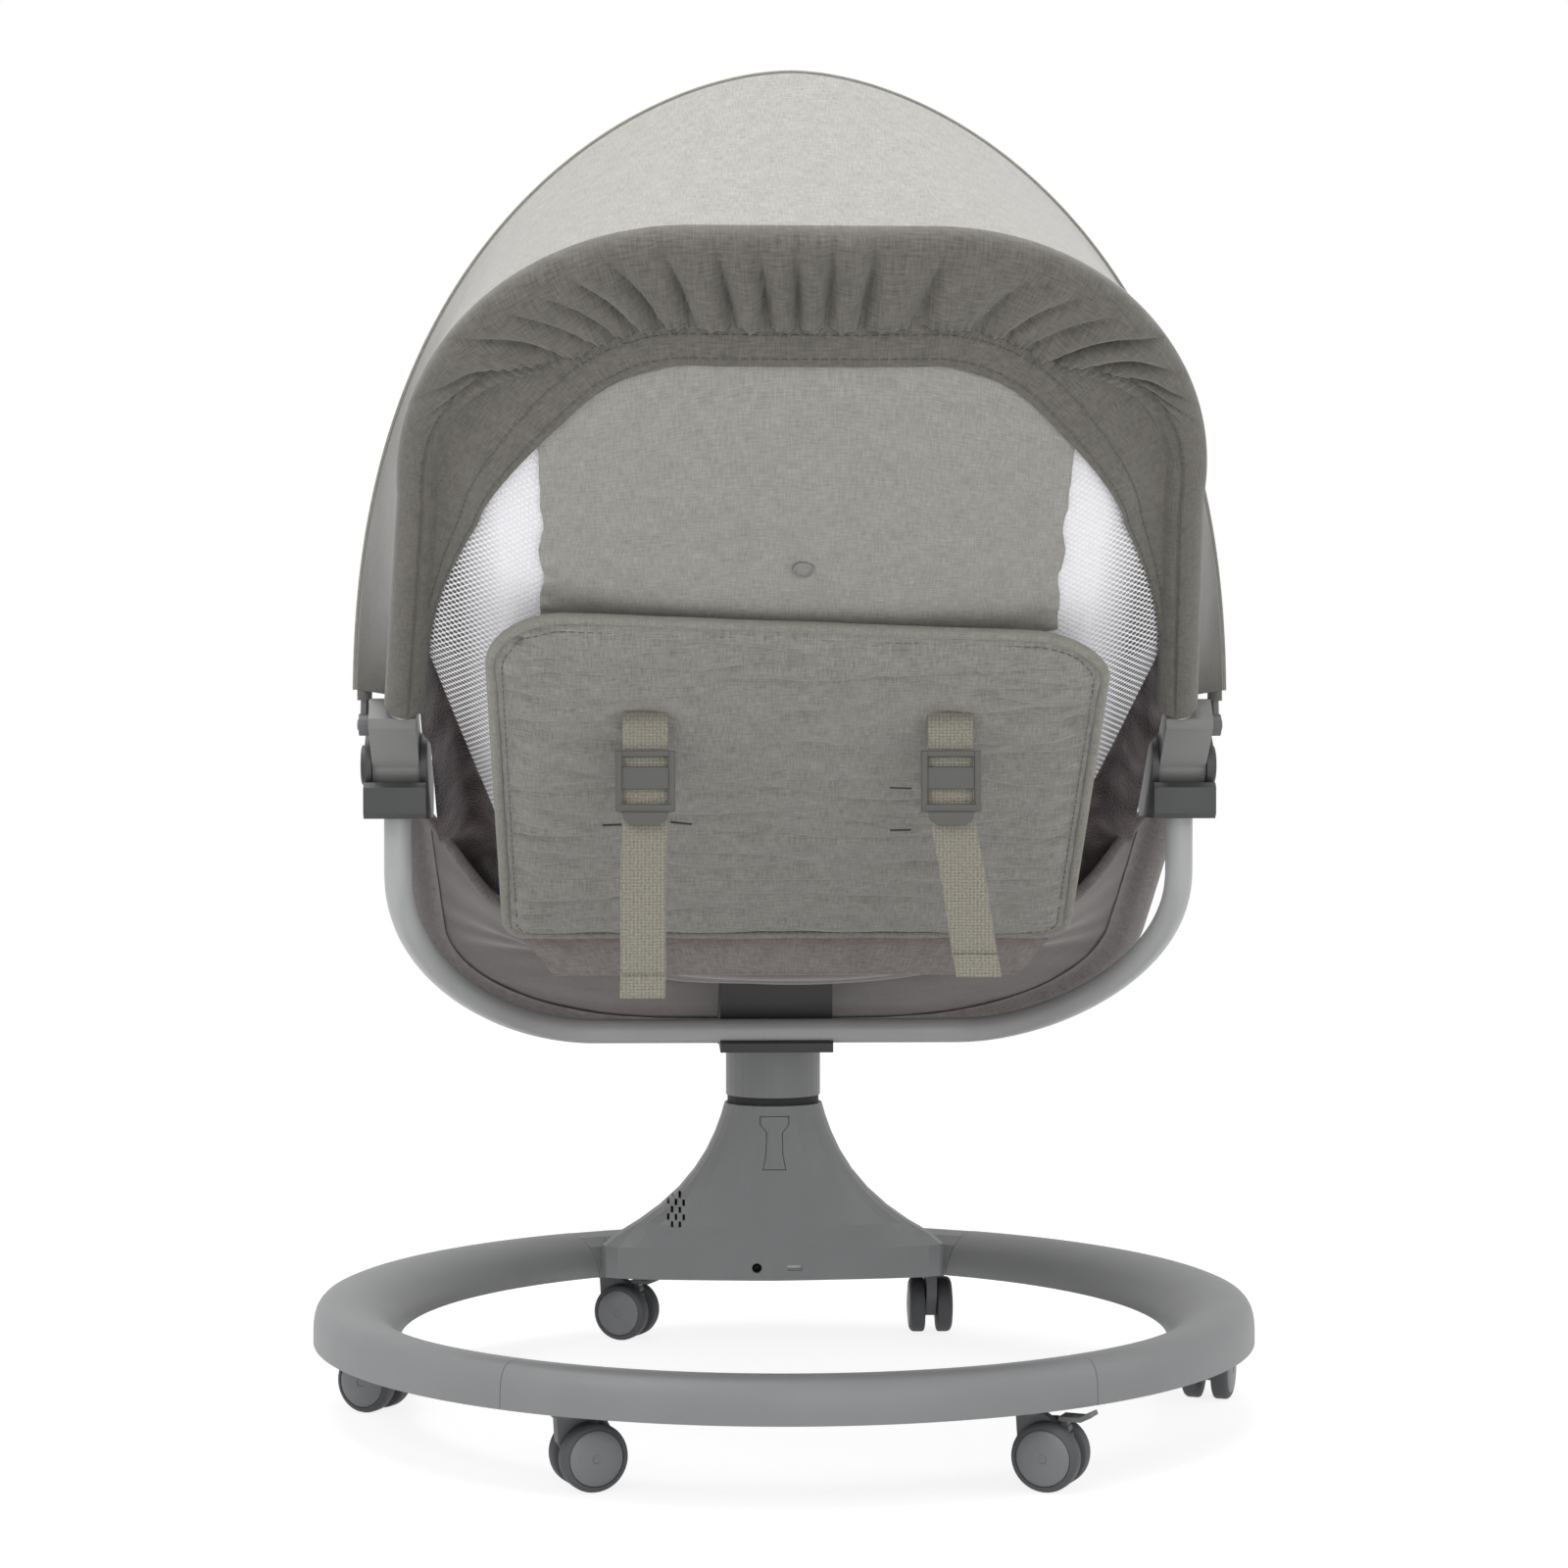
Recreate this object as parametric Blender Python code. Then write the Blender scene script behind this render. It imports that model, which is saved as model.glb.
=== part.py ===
"""Electric baby cradle: a castered base ring with a flared pedestal, a magnetic swing drive,
a seat on a bent tube frame, a reclining back and a folding canopy.

Metres, +Z up. The head end lies towards +Y and the foot end towards -Y.
The model is laid out about the centre of the base ring, with the floor at zero height,
and its root is moved at the end so that the origin is the middle of the footprint.
"""

import math

import bmesh
import bpy
from mathutils import Matrix, Vector

MM = 0.001

# Clearances
SEAT_GAP = 0.3 * MM
EDGE_GAP = 1.8 * MM
SLEEVE_GAP = 0.9 * MM
WELD = 0.002 * MM

# Casters
WHEEL_RADIUS = 19 * MM
WHEEL_WIDTH = 10.5 * MM
WHEEL_SLOT = 8.4 * MM
CASTER_TRAIL = 12 * MM
CASTER_HEIGHT = 46 * MM
HUB_RADIUS = 9 * MM
HUB_HEIGHT = 5 * MM
STEM_RADIUS = 4 * MM
STEM_LENGTH = 14 * MM
AXLE_RADIUS = 2.6 * MM
WEB_WIDTH = 7 * MM
BRAKE_PIVOT_RADIUS = 3.4 * MM
BRAKE_PIVOT_OUT = 8 * MM
BRAKE_PIVOT_UP = 14.5 * MM
BRAKE_TAB_LENGTH = 17 * MM
BRAKE_TAB_WIDTH = 13 * MM
BRAKE_TAB_THICKNESS = 2.4 * MM
BRAKE_TAB_LIFT = 19.6 * MM
# Angle of each caster about the ring, counted from the head end, and the way it points
CASTER_PLACES_DEG = (29, 90, 155, -155, -90, -29)
CASTER_HEADINGS_DEG = (200, 150, 155, 270, 250, 155)
FRONT_CASTERS = (2, 3)

# Base ring
RING_OUTER_RADIUS = 287.5 * MM
RING_WIDTH = 52.5 * MM
RING_HEIGHT = 25 * MM
RING_WALL = 3 * MM
REAR_SEAM_DEG = 34.5
FRONT_SEAM_DEG = 150
SOCKET_WALL = 4.2 * MM
SOCKET_SPARE = 2 * MM
# Outline of the ring's section: share of its width from the inner edge, share of its height
RING_SECTION = (
    (1.0, 0.0), (1.0, 0.30), (0.985, 0.62), (0.94, 0.85), (0.86, 0.97), (0.72, 1.0),
    (0.50, 0.93), (0.28, 0.74), (0.12, 0.46), (0.02, 0.16), (0.0, 0.0),
)

# Pedestal
PEDESTAL_SETBACK = 56 * MM
PEDESTAL_HEIGHT = 119 * MM
PEDESTAL_WALL = 3 * MM
NECK_RADIUS = 33 * MM
FLARE_REACH = 116 * MM
FLARE_DEPTH = 78 * MM
FLARE_FALL = 45 * MM
REAR_LEAN = 10 * MM
PEDESTAL_LEVELS = (0, 9, 20, 33, 46, 59, 71, 81, 90, 97)
PEDESTAL_COLUMNS = 32
# How square the flare's section is by share of its height: 2 is round
FLARE_POWERS = ((0, 2.0), (0.4, 2.5), (0.62, 2.2), (0.8, 1.7), (1.0, 1.6))
NECK_BORE_RADIUS = 22 * MM
NECK_BORE_DEPTH = 24 * MM
COVER_THICKNESS = 2.5 * MM
COVER_RECESS = 0.6 * MM

# Swing drive
SHAFT_RADIUS = 11 * MM
JOURNAL_RADIUS = 5 * MM
JOURNAL_HEIGHT = 13 * MM
BEARING_HEIGHT = 9 * MM
LOWER_BEARING_RADIUS = 11 * MM
SEAL_HEIGHT = 4.7 * MM
SEAL_RADIUS = 31 * MM
SEAL_BORE_RADIUS = 26 * MM
COLLAR_RADIUS = 32 * MM
COLLAR_HEIGHT = 34.7 * MM
COLLAR_WALL = 4 * MM
COLLAR_ROOF = 5 * MM
ARM_LENGTH = 46 * MM
ARM_WIDTH = 14 * MM
ARM_HEIGHT = 6 * MM
ARM_HUB_RADIUS = 16 * MM
MAGNET_SIZE = 16 * MM
COIL_RADIUS = 13 * MM
COIL_HEIGHT = 10 * MM
BOARD_SIZE = (44 * MM, 30 * MM, 1.6 * MM)
BOARD_OUT = 66 * MM
BOARD_BACK = 4 * MM
# Chips on the board: out, back and edge length in millimetres
CHIPS_MM = ((-12, 4, 9), (6, -5, 12), (14, 8, 6))
CHIP_HEIGHT = 3 * MM

# Ports, speaker, latch and panel on the pedestal
JACK_OUT = 11.6 * MM
JACK_HOLE_RADIUS = 3.4 * MM
JACK_BODY_RADIUS = 5.2 * MM
JACK_DEPTH = 9 * MM
JACK_PIN_RADIUS = 1 * MM
DATA_PORT_OUT = -14 * MM
DATA_PORT_SIZE = (10 * MM, 3.6 * MM)
DATA_PORT_BODY = (14 * MM, 9 * MM, 6.4 * MM)
PORT_HEIGHT = 9 * MM
PORT_SETBACK = 1.6 * MM
SPEAKER_OUT = 66 * MM
SPEAKER_UP = 48 * MM
SPEAKER_RADIUS = 11.5 * MM
SPEAKER_GAP = 1.2 * MM
SLOT_SIZE = (1.7 * MM, 4.0 * MM)
SLOT_PITCH = (5.2 * MM, 4.7 * MM)
SLOT_ROWS = (2, 3, 2, 3, 2)
LATCH_DROP = 7 * MM
LATCH_HEIGHT = 36 * MM
LATCH_THICKNESS = 2.6 * MM
LATCH_TRAVEL = 2 * MM
# Half widths of the latch from its top down, by share of its height
LATCH_OUTLINE = ((0.0, 9.5 * MM), (0.16, 9.5 * MM), (0.30, 5.2 * MM), (0.72, 5.6 * MM), (1.0, 7.6 * MM))
PANEL_WIDTH = 50 * MM
PANEL_HEIGHT = 40 * MM
PANEL_UP = 34 * MM

# Seat frame
TUBE_RADIUS = 8 * MM
TUBE_SIDES_SETTING = 3
JOINT_OUT = 229 * MM
JOINT_BACK = 300 * MM
JOINT_UP = 190 * MM
CARRIER_RUN_BACK = 70 * MM
CARRIER_RUN_UP = 14 * MM
CARRIER_BEND = 110 * MM
CARRIER_STAND = 60 * MM
LEG_SLOPE_DEG = 26.5
LEG_LENGTH = 408 * MM
LEG_STRAIGHT = 233 * MM
LEG_WAIST = 231 * MM
LEG_FLAT = 77 * MM
BACK_SLOPE_DEG = 40.3
BACK_LENGTH = 397 * MM
BACK_STRAIGHT = 225 * MM
BACK_WAIST = 205 * MM
BACK_FLAT = 60 * MM
BRACKET_WIDTH = 74 * MM
BRACKET_LIP = 6 * MM
BRACKET_NOSE = 14 * MM
BRACKET_CHIN = 4 * MM
TUBE_BORE_REACH = 70 * MM
CARRIER_END = 8 * MM
CARRIER_SETBACK = 3 * MM
CORNER_STEPS = 12

# Recline joints
HOUSING_WIDTH = 36 * MM
CHEEK_THICKNESS = 4 * MM
CHEEK_RADIUS = 20 * MM
KNUCKLE_RADIUS = 17 * MM
HOUSING_DROP = 31 * MM
HOUSING_STEP = 10 * MM
HOUSING_REAR = 27 * MM
HOUSING_FRONT = 39 * MM
TRUNNION_RADIUS = 6 * MM
TRUNNION_LENGTH = 7 * MM
KNUCKLE_REACH = 50 * MM
KNUCKLE_HALF_HEIGHT = 11.5 * MM
LEG_TUBE_START = 22 * MM
BACK_TUBE_START = 28 * MM
BUTTON_RADIUS = 11.7 * MM
BUTTON_STEM_RADIUS = 8 * MM
BUTTON_STEM_LENGTH = 6 * MM
BUTTON_PROUD = 3 * MM
BUTTON_TRAVEL = 3 * MM

# Canopy
CANOPY_PIVOT_REACH = 36 * MM
CANOPY_PIN_RADIUS = 3 * MM
EYELET_RADIUS = 6.5 * MM
EYELET_THICKNESS = 6 * MM
HOOP_WIRE_RADIUS = 2.5 * MM
HOOP_HEIGHT = 370 * MM
HOOP_SIDE_POWER = 1.12  # straighter shoulders than an ellipse's, which has 1
HOOP_RISE_POWER = 0.833
HOOP_OPEN_DEG = 49
CANOPY_THICKNESS = 2 * MM
CANOPY_CLEARANCE = 1.6 * MM
CANOPY_COLUMNS = 56
CANOPY_START = 20 * MM
HEM_INSET = 36 * MM
HEM_RISE = 5.2 * MM
GATHER_COUNT = 14
GATHER_DEPTH = 5 * MM

# Cloth and pads
SLING_THICKNESS = 1.5 * MM
BACK_SAG = 36 * MM
BACK_SAG_RUN = 160 * MM
BACK_BELOW = 108 * MM
BACK_LOWER_HALF = 160 * MM
BACK_FOLLOW = 110 * MM
# Gap between the back's sling and its tube by reach: close along the straight sides
BACK_EDGE_GAPS = ((205 * MM, SLEEVE_GAP), (245 * MM, EDGE_GAP))
# Sag of the leg sling by its reach, and the reach of its rear edge by the share of its half width
SEAT_SAG = (
    (50 * MM, 88 * MM), (120 * MM, 84 * MM), (180 * MM, 64 * MM), (225 * MM, 34 * MM),
    (265 * MM, 12 * MM), (300 * MM, 9 * MM), (395 * MM, 1.2 * MM),
)
SEAT_REAR = ((0.0, 101 * MM), (0.5, 105 * MM), (0.8, 116 * MM), (1.0, 60 * MM))
BRACKET_CLEARANCE = 0.9 * MM
BACK_PANEL_WIDTH = 282 * MM
BACK_PANEL_FROM = 150 * MM
BACK_PANEL_TO = 340 * MM
BACK_PANEL_THICKNESS = 1.5 * MM
SNAP_RADIUS = 5 * MM
SNAP_HEIGHT = 2.6 * MM
SNAP_REACH = 208 * MM
PADDED_WIDTH = 338 * MM
PADDED_FROM = -103 * MM
PADDED_TO = 187 * MM
PADDED_THICKNESS = 15 * MM
PADDED_EDGE = 6 * MM
PADDED_TOP_CORNER = 42 * MM
PADDED_BOTTOM_CORNER = 16 * MM
PADDED_MARGIN = 14 * MM
PADDED_TOP_SHARE = 0.75
PAD_GAP = 1.4 * MM
PANEL_GAP = 1.4 * MM
PAD_CROWN = 18 * MM
PAD_EDGE = 5 * MM
PAD_HALF_SHARE = 0.80
SEAT_PAD_START = 8 * MM
SEAT_PAD_END = 24 * MM
BACK_PAD_START = 6 * MM
BACK_PAD_END = 40 * MM

# Straps and buckles
STRAP_WIDTH = 25 * MM
STRAP_THICKNESS = 1.4 * MM
STRAP_OUT = 84 * MM
STRAP_REACH = 107 * MM
STRAP_LIFT = 3 * MM
STRAP_DROPS = (152 * MM, 141 * MM)
STRAP_LEANS = (2 * MM, -16 * MM)
BUCKLE_WIDTH = 33 * MM
BUCKLE_HEIGHT = 34 * MM
BUCKLE_THICKNESS = 2.6 * MM
BUCKLE_DROP = 16 * MM
BUCKLE_BAR = 4.5 * MM

# Values worked out from the dimensions above
RING_INNER_RADIUS = RING_OUTER_RADIUS - RING_WIDTH
RING_MEAN_RADIUS = RING_OUTER_RADIUS - RING_WIDTH / 2
RING_BOTTOM = CASTER_HEIGHT
RING_TOP = RING_BOTTOM + RING_HEIGHT
PEDESTAL_Y = PEDESTAL_SETBACK - RING_MEAN_RADIUS
PEDESTAL_TOP = RING_BOTTOM + PEDESTAL_HEIGHT
COVER_TOP = RING_BOTTOM + COVER_RECESS + COVER_THICKNESS
COLLAR_BOTTOM = PEDESTAL_TOP + SEAT_GAP + SEAL_HEIGHT + SEAT_GAP
COLLAR_TOP = COLLAR_BOTTOM + COLLAR_HEIGHT
JOINT_Y = PEDESTAL_Y + JOINT_BACK
JOINT_Z = COLLAR_TOP + JOINT_UP
CARRIER_RUN_Y = PEDESTAL_Y + CARRIER_RUN_BACK
CARRIER_RUN_Z = COLLAR_TOP + CARRIER_RUN_UP
LEG_SLOPE = math.radians(LEG_SLOPE_DEG)
BACK_SLOPE = math.radians(BACK_SLOPE_DEG)
HOUSING_INNER = JOINT_OUT - HOUSING_WIDTH / 2
HOUSING_OUTER = JOINT_OUT + HOUSING_WIDTH / 2
KNUCKLE_INNER = HOUSING_INNER + CHEEK_THICKNESS + SEAT_GAP
KNUCKLE_OUTER = HOUSING_OUTER - CHEEK_THICKNESS - SEAT_GAP
EYELET_INNER = KNUCKLE_OUTER + SEAT_GAP
EYELET_OUTER = EYELET_INNER + EYELET_THICKNESS
HOOP_HALF = (EYELET_INNER + EYELET_OUTER) / 2
BUTTON_INNER = HOUSING_OUTER - CHEEK_THICKNESS + SEAT_GAP
BUTTON_OUTER = HOUSING_OUTER + BUTTON_PROUD


# Small tools

def hex_to_linear(code):
    """Turn a six digit colour code into linear values."""
    values = []
    for start in (0, 2, 4):
        channel = int(code[start:start + 2], 16) / 255
        linear = channel / 12.92 if channel <= 0.04045 else ((channel + 0.055) / 1.055) ** 2.4
        values.append(linear)
    return (*values, 1.0)


def make_material(name, code, roughness, metallic=0.0):
    """Make a plain surface of one colour."""
    material = bpy.data.materials.new(name)
    material.use_nodes = True
    shader = material.node_tree.nodes["Principled BSDF"]
    shader.inputs["Base Color"].default_value = hex_to_linear(code)
    shader.inputs["Roughness"].default_value = roughness
    shader.inputs["Metallic"].default_value = metallic
    return material


def add_empty(name, place, parent=None, turn=0.0):
    """Add an empty that carries pieces, turned about the vertical."""
    empty = bpy.data.objects.new(name, None)
    bpy.context.collection.objects.link(empty)
    if parent:
        empty.parent = parent
        empty.matrix_parent_inverse = parent.matrix_world.inverted()
    empty.location = place
    empty.rotation_euler = (0, 0, turn)
    bpy.context.view_layer.update()
    return empty


def add_object(name, mesh_or_bm, material=None, parent=None, smooth_deg=40):
    """Add an object laid out in the ring's frame and hang it on its empty."""
    mesh = mesh_or_bm
    if isinstance(mesh_or_bm, bmesh.types.BMesh):
        bmesh.ops.remove_doubles(mesh_or_bm, verts=mesh_or_bm.verts, dist=WELD)
        bmesh.ops.recalc_face_normals(mesh_or_bm, faces=mesh_or_bm.faces)
        mesh = bpy.data.meshes.new(name)
        mesh_or_bm.to_mesh(mesh)
        mesh_or_bm.free()
    if material:
        mesh.materials.clear()
        mesh.materials.append(material)
    mesh.shade_smooth()
    mesh.set_sharp_from_angle(angle=math.radians(smooth_deg))
    thing = bpy.data.objects.new(name, mesh)
    bpy.context.collection.objects.link(thing)
    if parent:
        thing.parent = parent
        thing.matrix_parent_inverse = parent.matrix_world.inverted()
    bpy.context.view_layer.update()
    return thing


def combine(target, tool_bm, operation):
    """Join a shape to an object, cut it out of it, or keep what they share."""
    tool = add_object("tool", tool_bm)
    modifier = target.modifiers.new("combine", "BOOLEAN")
    modifier.object = tool
    modifier.operation = operation
    modifier.solver = "EXACT"
    bpy.context.view_layer.update()
    depsgraph = bpy.context.evaluated_depsgraph_get()
    result = bpy.data.meshes.new_from_object(target.evaluated_get(depsgraph))
    result.name = target.data.name
    bm = bmesh.new()
    bm.from_mesh(result)
    bmesh.ops.remove_doubles(bm, verts=bm.verts, dist=WELD)
    bmesh.ops.dissolve_degenerate(bm, edges=bm.edges, dist=WELD)
    bmesh.ops.triangulate(bm, faces=bm.faces)
    bm.to_mesh(result)
    bm.free()
    target.modifiers.clear()
    target.data = result
    bpy.data.objects.remove(tool)


def join(target, tool_bm):
    """Join a shape to an object."""
    combine(target, tool_bm, "UNION")


def cut(target, tool_bm):
    """Cut a shape out of an object."""
    combine(target, tool_bm, "DIFFERENCE")


def keep_inside(target, tool_bm):
    """Keep the part of an object that lies inside a shape."""
    combine(target, tool_bm, "INTERSECT")


def loft(sections, caps=True, ring=False):
    """Skin a row of equal loops of points; ring joins the last loop to the first."""
    bm = bmesh.new()
    loops = [[bm.verts.new(point) for point in section] for section in sections]
    pairs = list(zip(loops, loops[1:]))
    if ring:
        pairs.append((loops[-1], loops[0]))
    for here, there in pairs:
        count = len(here)
        for k in range(count):
            bm.faces.new((here[k], here[(k + 1) % count], there[(k + 1) % count], there[k]))
    if caps and not ring:
        bm.faces.new(reversed(loops[0]))
        bm.faces.new(loops[-1])
    return bm


def box(low, high):
    """Make a box from its two corners."""
    outline = ((low[0], low[1]), (high[0], low[1]), (high[0], high[1]), (low[0], high[1]))
    return loft([[(x, y, z) for x, y in outline] for z in (low[2], high[2])])


def prism_x(outline, x_from, x_to):
    """Extrude an outline of y and z along X."""
    return loft([[(x, y, z) for y, z in outline] for x in (x_from, x_to)])


def circle(radius, count, phase=0.5):
    """Give the points of a circle."""
    angles = [2 * math.pi * (k + phase) / count for k in range(count)]
    return [(radius * math.cos(a), radius * math.sin(a)) for a in angles]


def cylinder(start, end, radius, count=24, end_radius=None):
    """Make a cylinder or a cone between two points."""
    start, end = Vector(start), Vector(end)
    turn = (end - start).to_track_quat("Z", "Y")
    sections = []
    for place, size in ((start, radius), (end, end_radius or radius)):
        sections.append([place + turn @ Vector((x, y, 0)) for x, y in circle(size, count)])
    return loft(sections)


def turned(profile, place, count=32, direction=(0, 0, 1)):
    """Turn a closed profile of radius and height about an axis."""
    turn = Vector(direction).to_track_quat("Z", "Y")
    sections = []
    for k in range(count):
        angle = 2 * math.pi * k / count
        spoke = Vector((math.cos(angle), math.sin(angle), 0))
        sections.append([Vector(place) + turn @ (spoke * r + Vector((0, 0, h))) for r, h in profile])
    return loft(sections, ring=True)


def two_sided(lower, upper):
    """Close the space between two grids of points into one body."""
    bm = bmesh.new()
    rows, columns = len(lower), len(lower[0])
    sheets = [[[bm.verts.new(point) for point in row] for row in grid] for grid in (lower, upper)]
    for sheet in sheets:
        for i in range(rows - 1):
            for j in range(columns - 1):
                bm.faces.new((sheet[i][j], sheet[i + 1][j], sheet[i + 1][j + 1], sheet[i][j + 1]))
    border = [(i, 0) for i in range(rows)]
    border += [(rows - 1, j) for j in range(1, columns)]
    border += [(i, columns - 1) for i in range(rows - 2, -1, -1)]
    border += [(0, j) for j in range(columns - 2, 0, -1)]
    for (i, j), (k, m) in zip(border, border[1:] + border[:1]):
        bm.faces.new((sheets[0][i][j], sheets[0][k][m], sheets[1][k][m], sheets[1][i][j]))
    return bm


def grid_normals(grid):
    """Give a unit normal at each point of a grid."""
    rows, columns = len(grid), len(grid[0])
    normals = []
    for i in range(rows):
        row = []
        for j in range(columns):
            along = grid[min(i + 1, rows - 1)][j] - grid[max(i - 1, 0)][j]
            across = grid[i][min(j + 1, columns - 1)] - grid[i][max(j - 1, 0)]
            row.append(along.cross(across).normalized())
        normals.append(row)
    return normals


def moved_grid(grid, normals, distance):
    """Move each point of a grid along its normal, by a number or by a grid of numbers."""
    moved = []
    for i, row in enumerate(grid):
        line = []
        for j, point in enumerate(row):
            step = distance[i][j] if isinstance(distance, list) else distance
            line.append(point + normals[i][j] * step)
        moved.append(line)
    return moved


def tube(name, path, radius, material, parent, resolution=TUBE_SIDES_SETTING):
    """Bend a round tube along a list of points and close its ends."""
    curve = bpy.data.curves.new(name, "CURVE")
    curve.dimensions = "3D"
    curve.bevel_depth = radius
    curve.bevel_resolution = resolution
    curve.use_fill_caps = True
    spline = curve.splines.new("POLY")
    spline.points.add(len(path) - 1)
    for point, place in zip(spline.points, path):
        point.co = (*place, 1)
    curve.materials.append(material)
    thing = bpy.data.objects.new(name, curve)
    bpy.context.collection.objects.link(thing)
    thing.parent = parent
    thing.matrix_parent_inverse = parent.matrix_world.inverted()
    bpy.context.view_layer.update()
    return thing


def blend_value(table, value):
    """Read a value between the entries of a table of pairs."""
    for (low, a), (high, b) in zip(table, table[1:]):
        if value <= high:
            share = min(1.0, max(0.0, (value - low) / (high - low)))
            return a + (b - a) * (share * share * (3 - 2 * share))
    return table[-1][1]


# Frames of the tilted parts

def back_point(x, reach, out):
    """Place a point of the back: its reach up the slope and how far it stands out behind."""
    y = JOINT_Y + reach * math.cos(BACK_SLOPE) + out * math.sin(BACK_SLOPE)
    z = JOINT_Z + reach * math.sin(BACK_SLOPE) - out * math.cos(BACK_SLOPE)
    return Vector((x, y, z))


def leg_point(x, reach, sag):
    """Place a point of the leg part: its reach down the slope and how far it sags."""
    y = JOINT_Y - reach * math.cos(LEG_SLOPE) + sag * math.sin(LEG_SLOPE)
    z = JOINT_Z - reach * math.sin(LEG_SLOPE) - sag * math.cos(LEG_SLOPE)
    return Vector((x, y, z))


def hoop_point(x, height):
    """Place a point of the canopy's hoop."""
    pivot = back_point(0, CANOPY_PIVOT_REACH, 0)
    slope = BACK_SLOPE + math.radians(HOOP_OPEN_DEG)
    return Vector((x, pivot.y + height * math.cos(slope), pivot.z + height * math.sin(slope)))


BACK_LOOP = {"length": BACK_LENGTH, "straight": BACK_STRAIGHT, "waist": BACK_WAIST, "flat": BACK_FLAT}
LEG_LOOP = {"length": LEG_LENGTH, "straight": LEG_STRAIGHT, "waist": LEG_WAIST, "flat": LEG_FLAT}


def loop_half_width(loop, reach, inset):
    """Half width inside a tube loop at a reach from its joint."""
    if reach <= loop["straight"]:
        share = max(0.0, reach) / loop["straight"]
        return JOINT_OUT + (loop["waist"] - JOINT_OUT) * share - inset
    across = loop["waist"] - loop["flat"] - inset
    along = loop["length"] - loop["straight"] - inset
    share = min(1.0, (reach - loop["straight"]) / along)
    return loop["flat"] + across * math.sqrt(1 - share * share)


def loop_outline(loop, start):
    """Centre line of a tube loop as half width and reach, from one joint to the other."""
    side = [(JOINT_OUT + (loop["waist"] - JOINT_OUT) * start / loop["straight"], start)]
    for k in range(CORNER_STEPS + 1):
        angle = math.pi / 2 * k / CORNER_STEPS
        half = loop["flat"] + (loop["waist"] - loop["flat"]) * math.cos(angle)
        reach = loop["straight"] + (loop["length"] - loop["straight"]) * math.sin(angle)
        side.append((half, reach))
    return side + [(-half, reach) for half, reach in reversed(side)]


def hoop_outline(start, steps):
    """Centre line of the canopy's hoop as half width and height."""
    outline = []
    low = math.asin((start / HOOP_HEIGHT) ** (1 / HOOP_RISE_POWER))
    for k in range(steps + 1):
        angle = low + (math.pi - 2 * low) * k / steps
        across = abs(math.cos(angle)) ** HOOP_SIDE_POWER
        up = math.sin(angle) ** HOOP_RISE_POWER
        outline.append((math.copysign(HOOP_HALF * across, math.cos(angle)), HOOP_HEIGHT * up))
    return outline


def resample(outline, count):
    """Spread points evenly along an outline."""
    lengths = [0.0]
    for (x0, y0), (x1, y1) in zip(outline, outline[1:]):
        lengths.append(lengths[-1] + math.hypot(x1 - x0, y1 - y0))
    spread = []
    segment = 0
    for k in range(count):
        target = lengths[-1] * k / (count - 1)
        while segment < len(outline) - 2 and lengths[segment + 1] < target:
            segment += 1
        share = (target - lengths[segment]) / (lengths[segment + 1] - lengths[segment])
        (x0, y0), (x1, y1) = outline[segment], outline[segment + 1]
        spread.append((x0 + (x1 - x0) * share, y0 + (y1 - y0) * share))
    return spread


def outward(outline):
    """Unit directions that point out of an outline that runs from +X over the top to -X."""
    directions = []
    for k in range(len(outline)):
        x0, y0 = outline[max(k - 1, 0)]
        x1, y1 = outline[min(k + 1, len(outline) - 1)]
        size = math.hypot(x1 - x0, y1 - y0)
        directions.append(((y1 - y0) / size, -(x1 - x0) / size))
    return directions


# Base

def ring_section(inset, bottom):
    """Section of the ring's solid, drawn in from its outer faces."""
    inner = RING_INNER_RADIUS + inset
    width = RING_WIDTH - 2 * inset
    height = RING_HEIGHT - inset
    points = [(inner + width * f, RING_BOTTOM + height * g) for f, g in RING_SECTION]
    if bottom < RING_BOTTOM:
        points = [(inner + width, bottom)] + points[1:-1] + [(inner, bottom)]
    return points


def ring_arc(section, from_deg, to_deg, steps):
    """Sweep a section about the ring's axis; angles count from the head end towards +X."""
    sections = []
    for k in range(steps + 1):
        angle = math.radians(from_deg + (to_deg - from_deg) * k / steps)
        sections.append([(r * math.sin(angle), r * math.cos(angle), z) for r, z in section])
    return loft(sections)


def channel_section():
    """Section of the hollow ring, open below."""
    outer = ring_section(0, RING_BOTTOM)
    inner = ring_section(RING_WALL, RING_BOTTOM)
    inner = [(inner[0][0], RING_BOTTOM)] + inner[1:-1] + [(inner[-1][0], RING_BOTTOM)]
    return outer + list(reversed(inner))


def caster_place(number):
    """Centre of a caster's stem at the ring's underside."""
    angle = math.radians(CASTER_PLACES_DEG[number])
    return Vector((RING_MEAN_RADIUS * math.sin(angle), RING_MEAN_RADIUS * math.cos(angle), RING_BOTTOM))


def add_sockets(target, numbers):
    """Give a ring piece the bosses that hold the casters' stems."""
    boss_top = RING_TOP - RING_WALL
    for number in numbers:
        place = caster_place(number)
        up = Vector((0, 0, 1))
        boss_radius = STEM_RADIUS + SOCKET_WALL
        join(target, cylinder(place, place + up * (boss_top - RING_BOTTOM), boss_radius, 20))
    for number in numbers:
        place = caster_place(number)
        depth = STEM_LENGTH + SOCKET_SPARE
        hole = cylinder(place - up * MM, place + up * depth, STEM_RADIUS + SEAT_GAP, 16)
        cut(target, hole)


def flare_half_width(drop):
    """Half width of the pedestal at a drop below its top."""
    full = PEDESTAL_HEIGHT - RING_HEIGHT
    rise = (FLARE_REACH - NECK_RADIUS) / (math.exp(full / FLARE_FALL) - 1)
    return NECK_RADIUS + rise * (math.exp(min(drop, full) / FLARE_FALL) - 1)


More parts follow.
